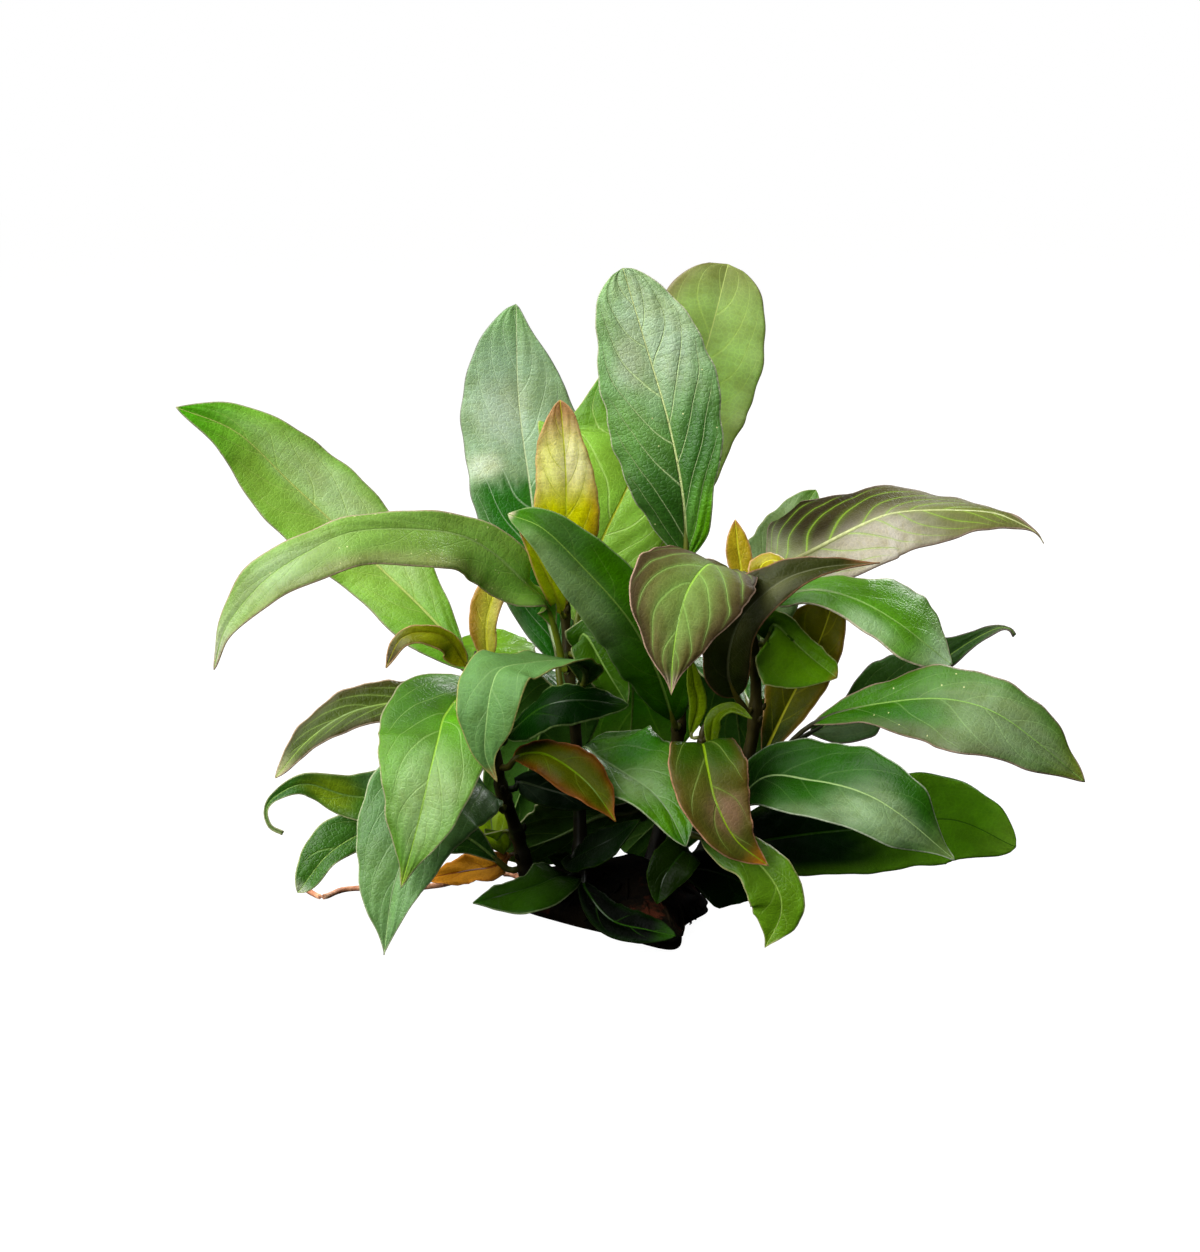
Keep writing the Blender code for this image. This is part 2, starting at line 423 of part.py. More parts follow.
def make_stem(stem, nodes, look, collection):
    spine = stem_spine(stem, STEM_POINTS)
    length = sum((b[0] - a[0]).length for a, b in zip(spine, spine[1:]))
    radii = [stem_radius(stem, i / (STEM_POINTS - 1), nodes, length) for i in range(STEM_POINTS)]
    return tube(stem.name, [p for p, _ in spine], radii, look, collection)


def attachment(leaf, stem, nodes):
    """Where the stalk begins: on the stem's surface, on the side that the leaf leaves from."""
    spine = stem_spine(stem)
    length = sum((b[0] - a[0]).length for a, b in zip(spine, spine[1:]))
    axis, direction = spine[round(leaf.at * (len(spine) - 1))]
    away = from_sheet(*leaf.path[0]) - axis
    away = (away - away.dot(direction) * direction).normalized()
    return axis + away * (stem_radius(stem, leaf.at, nodes, length) + STEM_GAP + 0.5 * STALK_WIDTH)


def half_width(leaf, share):
    """Half the blade's width at a share of the leaf's length, never less than the stalk or tip."""
    low = STALK_WIDTH / 2 + (leaf.tip - STALK_WIDTH) / 2 * share
    if share <= leaf.stalk or share >= 1:
        return low
    t = (share - leaf.stalk) / (1 - leaf.stalk)
    p = (leaf.peak - leaf.stalk) / (1 - leaf.stalk)
    swell = (t / p) ** (p * leaf.fullness) * ((1 - t) / (1 - p)) ** ((1 - p) * leaf.fullness)
    return max(low, leaf.width / 2 * swell)


def side_share(leaf, share, side):
    """What the blade's left or right half has of its full width here."""
    shares = leaf.left if side < 0 else leaf.right
    place = max(0.0, (share - leaf.stalk) / (1 - leaf.stalk)) * (len(shares) - 1)
    k = min(int(place), len(shares) - 2)
    t = place - k
    return shares[k] + (shares[k + 1] - shares[k]) * t * t * (3 - 2 * t)


def leaf_point(leaf, spine, share, side):
    """A point of the blade's middle surface. side runs from -1 at the left margin to 1 at the right,
    as the upper side is seen with the tip up."""
    place = share * (len(spine) - 1)
    k = min(int(place), len(spine) - 2)
    centre = spine[k][0].lerp(spine[k + 1][0], place - k)
    along = spine[k][1].lerp(spine[k + 1][1], place - k).normalized()
    turn = share * (len(leaf.face) - 1)
    j = min(int(turn), len(leaf.face) - 2)
    face = Vector(leaf.face[j]).lerp(Vector(leaf.face[j + 1]), turn - j)
    normal = (face - face.dot(along) * along).normalized()
    across = along.cross(normal)
    half = half_width(leaf, share) * side_share(leaf, share, side)
    rise = math.tan(math.radians(leaf.fold)) * abs(side) + leaf.curl * side * side
    return centre + half * (side * across + rise * normal)


def row_share(even):
    """Moves evenly spaced rows closer together at the base and the tip, where the outline turns."""
    return even - ROW_CROWDING * math.sin(2 * math.pi * even) / (2 * math.pi)


def thickness_share(leaf, share, side):
    """How much of LEAF_THICKNESS the leaf has: all of it in the stalk, little at the margins."""
    blade = MIDRIB_SHARE + (MARGIN_SHARE - MIDRIB_SHARE) * abs(side)
    stalk = 1 - 0.5 * side * side
    ease = min(1.0, max(0.0, (share - 0.5 * leaf.stalk) / (1.5 * leaf.stalk)))
    return stalk + (blade - stalk) * ease


def make_leaf(leaf, stem, nodes, look, collection):
    """An open grid bent to the leaf's surface, thickened by Solidify."""
    base = attachment(leaf, stem, nodes)
    spine = smooth_points([base, *[from_sheet(*p) for p in leaf.path]], SPINE_POINTS)
    columns, rows = leaf.grid
    shape = bmesh.new()
    bmesh.ops.create_grid(shape, x_segments=columns, y_segments=rows, size=1.0)
    weights = shape.verts.layers.deform.verify()
    for vertex in shape.verts:
        side = vertex.co.x
        share = row_share((vertex.co.y + 1) / 2)
        vertex[weights][0] = thickness_share(leaf, share, side)
        vertex.co = (leaf_point(leaf, spine, share, side) - base) * MM
    mesh = bpy.data.meshes.new(leaf.name)
    shape.to_mesh(mesh)
    shape.free()
    mesh.materials.append(look)
    mesh.shade_smooth()
    made = bpy.data.objects.new(leaf.name, mesh)
    made.location = base * MM
    collection.objects.link(made)
    made.vertex_groups.new(name="thickness")
    skin = made.modifiers.new("Thickness", "SOLIDIFY")
    skin.thickness = LEAF_THICKNESS * MM
    skin.offset = 0
    skin.vertex_group = "thickness"
    return made


def around(corners, turn):
    """The point at this share of the smooth closed curve through corners."""
    place = turn * len(corners)
    k = int(place)
    t = place - k
    a, b, c, d = [Vector(corners[(k + i) % len(corners)]) for i in (-1, 0, 1, 2)]
    return 0.5 * (2 * b + (c - a) * t + (2 * a - 5 * b + 4 * c - d) * t**2 + (3 * b - a - 3 * c + d) * t**3)


def make_rootstock(look, collection):
    """A low lumpy crown, cut off flat at the ground: rings of its plan outline, one above another."""
    shape = bmesh.new()
    rings = []
    for k, (scale, height) in enumerate(ROOTSTOCK_RINGS):
        ring = []
        for i in range(ROOTSTOCK_SIDES):
            turn = i / ROOTSTOCK_SIDES
            lump = 1 + ROOTSTOCK_LUMPS * math.sin(2 * math.pi * SIDE_LUMPS * turn + LUMP_TWIST * k)
            place = around(ROOTSTOCK_PLAN, turn) * scale * lump
            bump = 1 + ROOTSTOCK_LUMPS * math.sin(2 * math.pi * TOP_LUMPS * turn)
            ring.append(shape.verts.new(Vector((place.x, place.y, height * bump)) * MM))
        rings.append(ring)
    top = shape.verts.new((0, 0, ROOTSTOCK_TOP * MM))
    shape.faces.new(reversed(rings[0]))
    for i in range(ROOTSTOCK_SIDES):
        after = (i + 1) % ROOTSTOCK_SIDES
        for low, high in zip(rings, rings[1:]):
            shape.faces.new((low[i], low[after], high[after], high[i]))
        shape.faces.new((rings[-1][i], rings[-1][after], top))
    mesh = bpy.data.meshes.new("rootstock")
    shape.to_mesh(mesh)
    shape.free()
    mesh.materials.append(look)
    made = bpy.data.objects.new("rootstock", mesh)
    collection.objects.link(made)
    return made


def cut_socket(rootstock, stem, cutters):
    """A pocket in the rootstock that the stem's foot stands in, with a gap all round."""
    spine = stem_spine(stem, STEM_POINTS)[:SOCKET_POINTS]
    foot, direction = spine[0]
    points = [foot - SOCKET_GAP * direction, *[p for p, _ in spine[1:]]]
    radii = [stem.radius * NODE_SWELLING + SOCKET_GAP] * SOCKET_POINTS
    bar = tube(stem.name + "_socket", points, radii, None, cutters)
    cutter = to_mesh(bar, cutters)
    cutter.hide_render = True
    cutter.display_type = "WIRE"
    cut = rootstock.modifiers.new(stem.name, "BOOLEAN")
    cut.operation = "DIFFERENCE"
    cut.object = cutter


def make_looks():
    looks = {}
    for name, (red, green, blue, roughness) in LOOKS.items():
        look = bpy.data.materials.new(name)
        look.use_nodes = True
        shader = look.node_tree.nodes["Principled BSDF"]
        shader.inputs["Base Color"].default_value = (red, green, blue, 1)
        shader.inputs["Roughness"].default_value = roughness
        shader.inputs["Metallic"].default_value = 0
        looks[name] = look
    return looks


def make_root(look, collection):
    start = Vector((*ROOT_START, ROOT_RADIUS))
    points = [start, *[on_ground(across, up, ROOT_RADIUS) for across, up in ROOT]]
    spine = smooth_points(points, ROOT_POINTS)
    return tube("root", [p for p, _ in spine], [ROOT_RADIUS] * ROOT_POINTS, look, collection)


def hang(thing, holder):
    """Makes the object its holder's child and leaves it where it is. Neither is turned or scaled."""
    thing.parent = holder
    thing.location = thing.location - holder.matrix_world.translation


def main():
    for thing in list(bpy.data.objects):
        bpy.data.objects.remove(thing)
    plant = bpy.data.collections.new("hygrophila")
    cutters = bpy.data.collections.new("cutters")
    bpy.context.scene.collection.children.link(plant)
    bpy.context.scene.collection.children.link(cutters)
    looks = make_looks()
    rootstock = make_rootstock(looks["rootstock"], plant)
    hang(make_root(looks["root"], plant), rootstock)
    for stem in STEMS:
        leaves = [leaf for leaf in LEAVES if leaf.stem == stem.name]
        nodes = [leaf.at for leaf in leaves]
        bar = make_stem(stem, nodes, looks["stem"], plant)
        hang(bar, rootstock)
        cut_socket(rootstock, stem, cutters)
        bpy.context.view_layer.update()
        for leaf in leaves:
            hang(make_leaf(leaf, stem, nodes, looks[leaf.look], plant), bar)


main()
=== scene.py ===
"""Looks of the hygrophila clump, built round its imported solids: each leaf gets a fine blade with its
midrib, veins and waved margins, and each stem, the rootstock and the root get a fine skin.

Lengths in the tables and helpers are millimetres until MM turns them into Blender's metres. The
tables are those of the part, so every piece lies where its solid is. A few blades are wider than
their solids, to close gaps that let the floor show.
"""
import math
import random
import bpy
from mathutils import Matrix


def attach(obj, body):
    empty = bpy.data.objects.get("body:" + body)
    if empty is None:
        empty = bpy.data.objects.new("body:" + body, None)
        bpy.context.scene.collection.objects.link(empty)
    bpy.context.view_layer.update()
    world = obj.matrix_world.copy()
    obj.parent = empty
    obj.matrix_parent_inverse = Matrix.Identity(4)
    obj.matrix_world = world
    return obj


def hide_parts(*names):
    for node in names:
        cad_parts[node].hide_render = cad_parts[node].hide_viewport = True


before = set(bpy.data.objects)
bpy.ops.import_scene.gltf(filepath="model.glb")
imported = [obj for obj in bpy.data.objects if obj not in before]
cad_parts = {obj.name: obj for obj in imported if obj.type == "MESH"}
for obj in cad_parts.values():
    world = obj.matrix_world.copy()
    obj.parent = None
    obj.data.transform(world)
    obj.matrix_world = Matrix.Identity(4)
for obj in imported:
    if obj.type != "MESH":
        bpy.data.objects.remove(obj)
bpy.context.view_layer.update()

import zlib
from dataclasses import dataclass, field
from functools import partial

import bpy
import numpy as np
from mathutils import Vector

MM = 0.001

# A plant has no chain of dimensions, so it is laid out on a front elevation that is drawn in
# perspective. A place on it is (across, up, depth): millimetres right of and above the sheet's
# centre, and how far behind the sheet the point really lies.
SHEET_CENTRE = Vector((-6.0, -7.0, 76.0))
EYE_DISTANCE = 700.0
EYE_TILT = math.radians(10.0)
VIEW_AXIS = Vector((0.0, math.cos(EYE_TILT), -math.sin(EYE_TILT)))
SHEET_UP = Vector((0.0, math.sin(EYE_TILT), math.cos(EYE_TILT)))
EYE = SHEET_CENTRE - EYE_DISTANCE * VIEW_AXIS

STALK_WIDTH = 2.4
STALK_ROOT = 0.6  # where the stalk begins, as a share of the stem's radius
STEM_GAP = 0.5
NODE_SWELLING = 0.25
NODE_REACH = 3.0

# The rootstock's plan, its rings, each a share of the plan and a height, and its lumps
ROOTSTOCK_PLAN = [(10, -34), (16, -17), (21, 3), (14, 18), (1, 27), (-15, 20), (-28, 5), (-10, -15)]
ROOTSTOCK_RINGS = [(0.97, 0), (1.0, 2.8), (0.92, 6.0), (0.72, 9.4), (0.42, 12.0)]
ROOTSTOCK_TOP = 13.0
ROOTSTOCK_LUMPS = 0.05
SIDE_LUMPS = 5
TOP_LUMPS = 3
LUMP_TWIST = 1.3
ROUGH_WAVES = 14
ROUGHNESS = (0.08, 0.10)  # of the rootstock's side and top
ROOTLETS = 60
ROOTLET_POINTS = 14
ROOTLET_DRIFT = 0.06  # how far round the rootstock one may wander, as a share of the way round
ROOTLET_STARTS = (1.6, 4.0)  # places among the rings
ROOTLET_RADII = (0.25, 0.6)

# The root lies on the ground. It leaves the rootstock's side at ROOT_START, an (x, y) place. Each point
# of ROOT is (across, up) on the sheet, followed down to the ground.
ROOT_RADIUS = 1.0
ROOT_TIP_RADIUS = 0.2
ROOT_START = (-23.6, 13.6)
ROOT = [(-22, -62), (-32, -63), (-42, -65), (-52, -65.5), (-59, -65.5), (-64.5, -66), (-69.5, -67.7),
        (-73.8, -65.7)]

# Fineness of the meshes
CURVE_STEPS = 24
SPINE_STEPS = 160
BLADE_PITCH = 0.95
ROWS = (28, 96)
COLUMNS = (12, 34)
RIB_SIDES = 8
RIB_ROWS = 34
STEM_SIDES = 16
STEM_RINGS = 90
ROOTSTOCK_SIDES = 120
ROOTSTOCK_ROWS = 26
ROOT_RINGS = 90

BLADE_THICKNESS = 0.32
STALK_HALF = 0.35  # half the width of the strip of blade along the stalk
WAVE_COUNTS = (2.3, 4.9, 9.7)  # waves of a margin in the blade's length
WAVE_SIZES = (0.55, 0.35, 0.2)
NICK = 0.014  # how far the margin strays, as a share of the half width
SWING = (1.3, 0.25)  # bends of the whole blade in its length, and their size
GROOVE_WIDTH = 0.9
CROWDING = 1.15  # above 1, lines of points along the blade stand closer near the midrib
RIB_END = 0.97  # as a share of the length
RIB_FADE = 0.3  # the share of the length in which the stalk's colour turns into the rib's
RIB_TONE = 0.7  # of the midrib's colour, on the underside
SHIFT = 150.0  # keeps one leaf's pattern off the next one's
TURN_SHIFT = 40  # the same for the count of side veins
NO_VEIN = (9.0, 0.5, 0.0)  # what the stalk has in place of the blade's measures
UNDER_SHARE = 0.6  # of the underside's own colour
SHADE_CENTRE = (4.0, 0.0, 14.0)  # the crowded middle of the clump, where the colours are darkened as painted shade
SHADE_REACH = (44.0, 36.0, 34.0)
SHADE_EDGE = (0.45, 1.25)
SHADE_LOW = 0.15
BUD_HEIGHTS = (-0.6, 0.3, 1.2, 2.2, 3.2, 4.0)
BUD_RADII = (0.8, 1.05, 1.1, 0.9, 0.55, 0.08)  # as shares of the stem's tip
KNOB_HEIGHTS = (0, 0.5, 1.0, 1.6, 2.1)
KNOB_RADII = (0.55, 0.75, 0.7, 0.45, 0.06)

THROUGH_TINT = (1.1, 1.2, 0.3)  # what the light gains in colour on its way through a blade
CLOUD_TINT = (0.84, 0.82, 0.70)
# darkens the hollows of the cross wrinkles: painted shade
WRINKLE_SHADE_TINT = (0.92, 0.92, 0.84)
NET_TINT = (1.22, 1.20, 1.10)
GRAIN_TINT = (0.70, 0.72, 0.66)
SPECK = 0xE1E1A0
SPECK_SIZE = 0.05
VEIN_STRENGTH = 0.85
NET_STRENGTH = 0.5
BLADE_BUMP = 0.0004  # metres
BARK_BUMP = 0.0006
STALK_BUMP = 0.0002

# How fine the patterns of a blade are, in spots for each millimetre
WOBBLE_SCALE = 0.07
CLOUD_SCALE = 0.09
SPECK_SCALE = 0.26
WRINKLE_SCALE = 0.5
SHEEN_SCALE = 0.5
RIM_SCALE = 0.8
NET_SCALE = 0.85

SENSOR = 36.0
PICTURE_HEIGHT = 313.0  # of the sheet that the picture's long side takes in
FLOOR_HALF = 6.0  # metres
FLOOR_DROP = 0.0002
FLOOR_TONE = 0.12
FLOOR_GLOW = 0.965
ROOM_TOP = (0.37, 0.36, 0.34)
ROOM_SIDE = (0.11, 0.11, 0.10)
ROOM_UNDER = (0.004, 0.004, 0.004)
ROOM_MIRRORED = 0.3  # how much of the room's light shows in the gloss of the leaves

# Softboxes: name, place, the spot each looks at, width, height and watts. In metres.
LIGHTS = [
    ("overhead", (-0.60, -0.20, 0.95), (0, 0, 0.05), 1.4, 1.2, 28.0),
    ("front", (-0.70, -1.00, 0.55), (0, 0, 0.08), 0.9, 0.9, 15.5),
    ("back", (0.40, 0.80, 0.70), (0, 0, 0.10), 0.6, 0.4, 9.0),
]

# Barks: two tones, the colour of the flecks, grain scale, roughness, relief and gloss
BARKS = {
    "stem": (0x221E08, 0x3C3612, 0x425C0E, 260.0, 0.5, 0.5, 0.25),
    # the rootstock's near-black tones are its dark bark together with painted shade at the clump's foot
    "rootstock": (0x080804, 0x221A0E, 0x542818, 220.0, 0.9, 1.0, 0.03),
    "root": (0xA06446, 0xCE9672, 0xDCB896, 300.0, 0.6, 0.5, 0.3),
}


@dataclass
class Look:
    """A leaf's colours, as a colour picker's 0xRRGGBB, among them painted sheen and painted shade, and its
    relief in millimetres.
    """

    slot: str
    main: int
    # base: the colour towards the stalk; where a base lies deep in the clump, a dark base is painted shade
    base: int
    tip: int
    edge: int  # along the margins
    vein: int
    rim: int  # the thin line of the margin itself
    under: int
    stalk: int
    midrib: int = 0  # 0 where it is like the side veins
    base_from: float = 0.0  # share of the length where the base's colour begins to fade
    base_to: float = 0.40  # and where it ends
    tip_from: float = 0.86
    edge_width: float = 0.35
    edge_strength: float = 0.4
    patches: tuple = ()  # (share of the length, side, reach along, reach across, colour, strength); the pale grey-green and lilac ones are painted sheen
    laterals: float = 0.4  # how clearly the side veins show
    halo: float = 0.0  # how far their colour spreads into the blade
    rough: float = 0.34
    gloss: float = 0.24
    through: float = 0.20  # share of the light that the blade lets through
    specks: float = 0.0
    wave: float = 0.8
    quilt: float = 0.12
    groove: float = 0.35
    relief: float = 0.5
    stalk_radius: float = 0.95
    rake: float = 1.3  # how steeply the side veins leave the midrib
    pitch: float = 12.0  # between side veins


GREEN = partial(Look, "leaf_green", main=0x367012, base=0x225A06, tip=0x58882E, edge=0x386A18,
    vein=0x8EB654, rim=0xB2B682, under=0x548032, stalk=0x5C6210)
BRIGHT = partial(Look, "leaf_bright", main=0x6AA61E, base=0x609E0A, tip=0x7EB22C, edge=0x689C1E,
    vein=0xAACE5C, rim=0xBEB682, under=0x7CAA38, stalk=0x6E7C12, through=0.3)
BRONZE = partial(Look, "leaf_bronze", main=0x543E1C, base=0x424C0C, tip=0xB06C1E, edge=0x683E24,
    vein=0x7AB014, rim=0xCE9670, under=0x706032, stalk=0x544C0E, laterals=0.8, halo=0.35, rake=1)
YOUNG = partial(Look, "leaf_young", main=0xBAAA14, base=0x969C08, tip=0xBA7C42, edge=0xB07C2C,
    vein=0xD8D632, rim=0xD6AA7C, under=0xC4B43C, stalk=0x82800A, through=0.32, wave=0.4, quilt=0.1,
    stalk_radius=0.6, pitch=6)
WITHERED = partial(Look, "leaf_withered", main=0xAC7408, base=0x6E3C0A, tip=0xCE801C, edge=0xBE6E14,
    vein=0x743C0A, rim=0xCE8C3C, under=0xB06C24, stalk=0x643E0C, rough=0.7, gloss=0.1, wave=1.6,
    quilt=0.5, stalk_radius=0.6)
# Leaves deep in the clump, painted near black: painted shade
DARK_PAINTED_SHADE = partial(Look, "leaf_green", main=0x0C2A02, base=0x051401, tip=0x1E4206, edge=0x102E03,
    vein=0x24480A, rim=0x38521A, under=0x102C04, stalk=0x243404, gloss=0.04)

LEAVES = []


@dataclass
class Stem:
    """A stem from the rootstock to its growing tip. Its nodes are where leaves leave it."""

    name: str
    path: list
    radius: float = 1.9
    tip_radius: float = 1.1
    nodes: list = field(default_factory=list)


@dataclass
class Leaf:
    """A leaf, which adds itself to LEAVES. It leaves its stem at a share of the stem's length, and its
    midrib runs through path to the tip. face is the way the upper side looks, from the base to the
    tip."""

    name: str
    stem: Stem
    at: float
    width: float
    path: list
    face: list
    look: Look
    peak: float = 0.52  # where the blade is widest, as a share of the length
    fullness: float = 1.6  # 1 is an ellipse, 2 a lens
    fold: float = 12.0  # degrees that each half rises from the midrib
    curl: float = -0.12  # how far the margins bend back, as a share of the half width
    stalk: float = 0.12  # share of the length that is bare stalk
    tip: float = 0.5
    left: tuple = (1, 1)  # the left half's share of its full width, at even steps to the tip
    right: tuple = (1, 1)

    def __post_init__(self):
        self.stem.nodes.append(self.at)
        LEAVES.append(self)


LEFT = Stem("stem_left", [(-16.5, -69, 12), (-21, -51, 8), (-24.5, -41, 4), (-28, -23, 1), (-30.5, -10, 0)])
CENTRE_LEFT = Stem("stem_centre_left", [(-5, -69, 6), (-5, -51, 6), (-6, -28, 7), (-8, -8, 8), (-9, 9, 8)])
CENTRE = Stem("stem_centre", [(10, -68, 14), (15, -51, 16), (19, -31, 17), (21, -9, 16), (22.5, 15, 13)],
              2.1)
RIGHT = Stem("stem_right", [(21, -66, 14), (29, -50, 12), (36, -36, 9), (39, -18, 6), (36.7, 9.5, 0)], 2.1)
FRONT = Stem("stem_front", [(15, -72, -6), (20, -52, -11), (24, -38, -14), (25.5, -28, -15)], 1.5, 0.9)

# Tall leaves at the top
# its two pale grey-green patches near the top are painted sheen
Leaf("leaf_tall_centre", CENTRE, 0.94, 30.8, [(21.5, 20, 9), (20.5, 34, 6), (17, 51.5, 8), (11.5, 70, 12),
    (5.7, 89.5, 16)], [(-0.1, -1, 0.1), (-0.2, -1, 0.25)],
    GREEN(main=0x609242, base=0x1E5802, tip=0x7AA25C, edge=0x4E7C36, vein=0xBED696, rim=0xBAB8A0,
    midrib=0xC6D48C, base_to=0.3, patches=[(0.82, 0.2, 0.24, 1, 0xA0B698, 0.9),
    (0.72, -0.4, 0.07, 0.25, 0xB2C2AA, 0.5), (0.44, 0.45, 0.15, 0.6, 0x2E5C1C, 0.9),
    (0.3, -0.4, 0.16, 0.6, 0x1E4E0A, 0.85), (0.19, 0.9, 0.15, 0.6, 0x62A808, 0.95)], laterals=0.75,
    specks=0.08, quilt=0.34, relief=0.8), peak=0.58, fullness=1.2, fold=9,
    left=(1, 1, 1, 0.95, 0.93, 1.2), right=(0.9, 0.66, 0.86, 0.98, 1, 0.9))
Leaf("leaf_tall_right", CENTRE, 0.82, 31, [(20, 14, 20), (19, 34, 27), (21.5, 54, 32), (27, 71, 35),
    (32, 90.5, 36)], [(0, -1, 0.1), (0.1, -1, 0.1)],
    BRIGHT(main=0xBED88C, base=0x9CC850, tip=0x9CA464, edge=0xAAC074, vein=0xCEE082, rim=0x968274,
    midrib=0xE8F09C, patches=[(0.86, -1, 0.16, 0.25, 0x927052, 0.6),
    (0.42, 0.9, 0.25, 0.4, 0xD2DAB4, 0.6)], laterals=0.55, through=0.4, quilt=0.04, groove=0.1,
    relief=0.2), peak=0.72, fullness=1.5, fold=8, left=(1, 1, 1, 1, 1.08, 1.15),
    right=(1, 0.85, 1, 1.05, 0.98, 1))
# its pale grey-green main colour and its two palest patches are painted sheen
Leaf("leaf_tall_left", CENTRE_LEFT, 0.62, 29.8, [(-11, -7, 11), (-14.5, 8, 16), (-17, 31, 24),
    (-20.3, 56, 30), (-21, 80.5, 32)], [(0.1, -1, 0.1), (0, -1, 0.1)],
    GREEN(main=0x8AA884, base=0x1E6006, tip=0x749E60, edge=0x789A68, vein=0xB0C8A0, rim=0x828078,
    midrib=0xBCCC9C, base_from=0.56, base_to=0.62, patches=[(0.75, -0.3, 0.08, 0.5, 0xB4C6B0, 0.7),
    (0.63, -0.75, 0.03, 0.35, 0xC4D0BA, 0.85), (0.54, 0.6, 0.12, 0.5, 0x74A058, 0.8)], laterals=0.45),
    peak=0.62, fullness=1.45, fold=8, left=(1, 1, 1.02, 1.04, 1.12, 1.1),
    right=(1, 1.05, 1.2, 1.08, 0.92, 0.4))
Leaf("leaf_centre_bright", CENTRE_LEFT, 0.8, 31, [(-5, 6, 14), (0.5, 21.5, 18), (7.5, 36.5, 23),
    (11, 50, 27), (5.5, 70, 30)], [(-0.1, -1, 0.2), (0, -1, 0.1)],
    BRIGHT(main=0x8EBE42, base=0x96C454, tip=0x48801E, vein=0xC4DC82, midrib=0xB4B814, base_from=0.1,
    tip_from=0.6, laterals=0.5, quilt=0.2), peak=0.58, fullness=1.4, fold=8,
    left=(1, 1, 1.35, 1.75, 1.6, 1))
Leaf("young_leaf_yellow", CENTRE_LEFT, 0.985, 18, [(-8.5, 20, 1), (-8.5, 36.5, -4), (-9.3, 49, -7),
    (-10, 56.5, -8)], [(0, -1, 0.2), (0, -1, 0.3)],
    YOUNG(main=0xF8F4B0, base=0xE4E200, tip=0xBE8E66, edge=0xC08C60, vein=0xDCDC54, midrib=0xDCE232,
    base_from=0.5, base_to=0.68, tip_from=0.76, edge_width=0.25,
    patches=[(0.72, 0.2, 0.1, 0.6, 0xFAF4DC, 0.8), (0.4, 0.9, 0.22, 0.3, 0xC4880A, 0.5)], laterals=0.5,
    through=0.42, quilt=0.25, stalk_radius=0.9, pitch=9), peak=0.55, fullness=1.4, fold=14,
    left=(1, 1, 0.9, 0.85, 1, 1), right=(1, 1, 0.95, 0.82, 0.72, 1))
Leaf("young_leaf_strap", CENTRE_LEFT, 0.93, 6, [(-11.5, 9, -5), (-16, 18, -12), (-20, 23.5, -15)],
    [(0.2, -1, 0.2)],
    YOUNG(main=0xCEDC08, base=0xBEC808))

# Left side
# its pale patch is painted sheen
Leaf("leaf_far_left_high", LEFT, 0.95, 25.5, [(-40, -0.5, 10), (-57.5, 17, 20), (-77.5, 36, 24),
    (-91, 48.5, 22), (-106, 54.7, 18)], [(0.3, -0.8, 0.5), (0, -1, 0.4)],
    BRIGHT(main=0x86B042, base=0x5C9E0A, tip=0x50A802, edge=0x649E1E, vein=0xA4C05C, rim=0xA69682,
    midrib=0xB2C064, tip_from=0.74, patches=[(0.56, 0.4, 0.26, 0.5, 0xB2C898, 0.7)]), peak=0.5,
    fullness=1.65, stalk=0.05, left=(1.7, 0.87, 1.02, 1), right=(0.5, 0.97, 1.1, 1.05))
# the pale patch near the tip and the whitish tip colour are painted sheen
Leaf("leaf_left_long", CENTRE_LEFT, 0.74, 17, [(-13, 4.5, -2), (-19, 11, -10), (-27, 18.5, -15),
    (-36, 23, -20), (-50, 24.3, -28), (-62.7, 23.2, -34), (-72.3, 18.8, -36.5), (-81.5, 13.1, -38),
    (-89, 5.7, -39), (-94.2, -2, -39), (-96.5, -11, -38)], [(-0.2, -0.6, 0.8), (-0.3, -0.8, 0.5),
    (-0.5, -0.9, 0.1)],
    BRIGHT(main=0x88B050, base=0x5C9E10, tip=0xC4C4B2, edge=0x749A40, vein=0x9CBE66, rim=0xBEA092,
    patches=[(0.62, -0.9, 0.35, 0.3, 0x9C9070, 0.5), (0.8, 0, 0.12, 0.8, 0x9EAE8A, 0.6),
    (0.14, 0, 0.12, 0.9, 0x68A41E, 0.7)], through=0.38, specks=0.22, groove=0.15, rake=2.4, pitch=15),
    peak=0.62, fullness=1.3, left=(1.2, 1.5, 1.45, 1.1, 0.85, 0.3), right=(1, 1.05, 0.62, 0.5, 0.76, 0.3))
Leaf("young_leaf_left_curled", LEFT, 0.99, 7.5, [(-37.5, -3.5, -6), (-44, -1.5, -10), (-50, -3.5, -13),
    (-53.5, -10.5, -14)], [(0, -0.6, 0.8), (-0.5, -0.8, 0.2)],
    YOUNG(main=0x96A00A, base=0xB8B006, tip=0x4E3E2C, edge=0x6E5414, midrib=0x969614, tip_from=0.5,
    laterals=0.2), left=(2, 1.3, 1, 1), right=(1, 0.6, 0.5, 0.7, 1))
Leaf("young_leaf_left_upright", LEFT, 0.97, 9.5, [(-28.5, 0, 3), (-26.5, 8, 5), (-22.5, 15, 7),
    (-18.5, 19.5, 9)], [(0, -1, 0.1), (-0.2, -1, 0.1)],
    YOUNG(main=0xC8C446, base=0x8C9206, tip=0xBE9674, patches=[(0.4, -0.9, 0.3, 0.5, 0x966406, 0.8),
    (0.7, 0.8, 0.2, 0.5, 0xC4A07C, 0.6)]), right=(1, 0.6, 0.7, 1))
Leaf("leaf_left_behind", LEFT, 0.9, 23, [(-28, -6, 12), (-27, -4.5, 24), (-26.5, -2.2, 34),
    (-26, -0.75, 42)], [(0, -0.3, 1), (0, -0.1, 1)],
    BRIGHT(main=0x76AC18, laterals=0.2), fullness=1.1, fold=4, curl=-0.2)
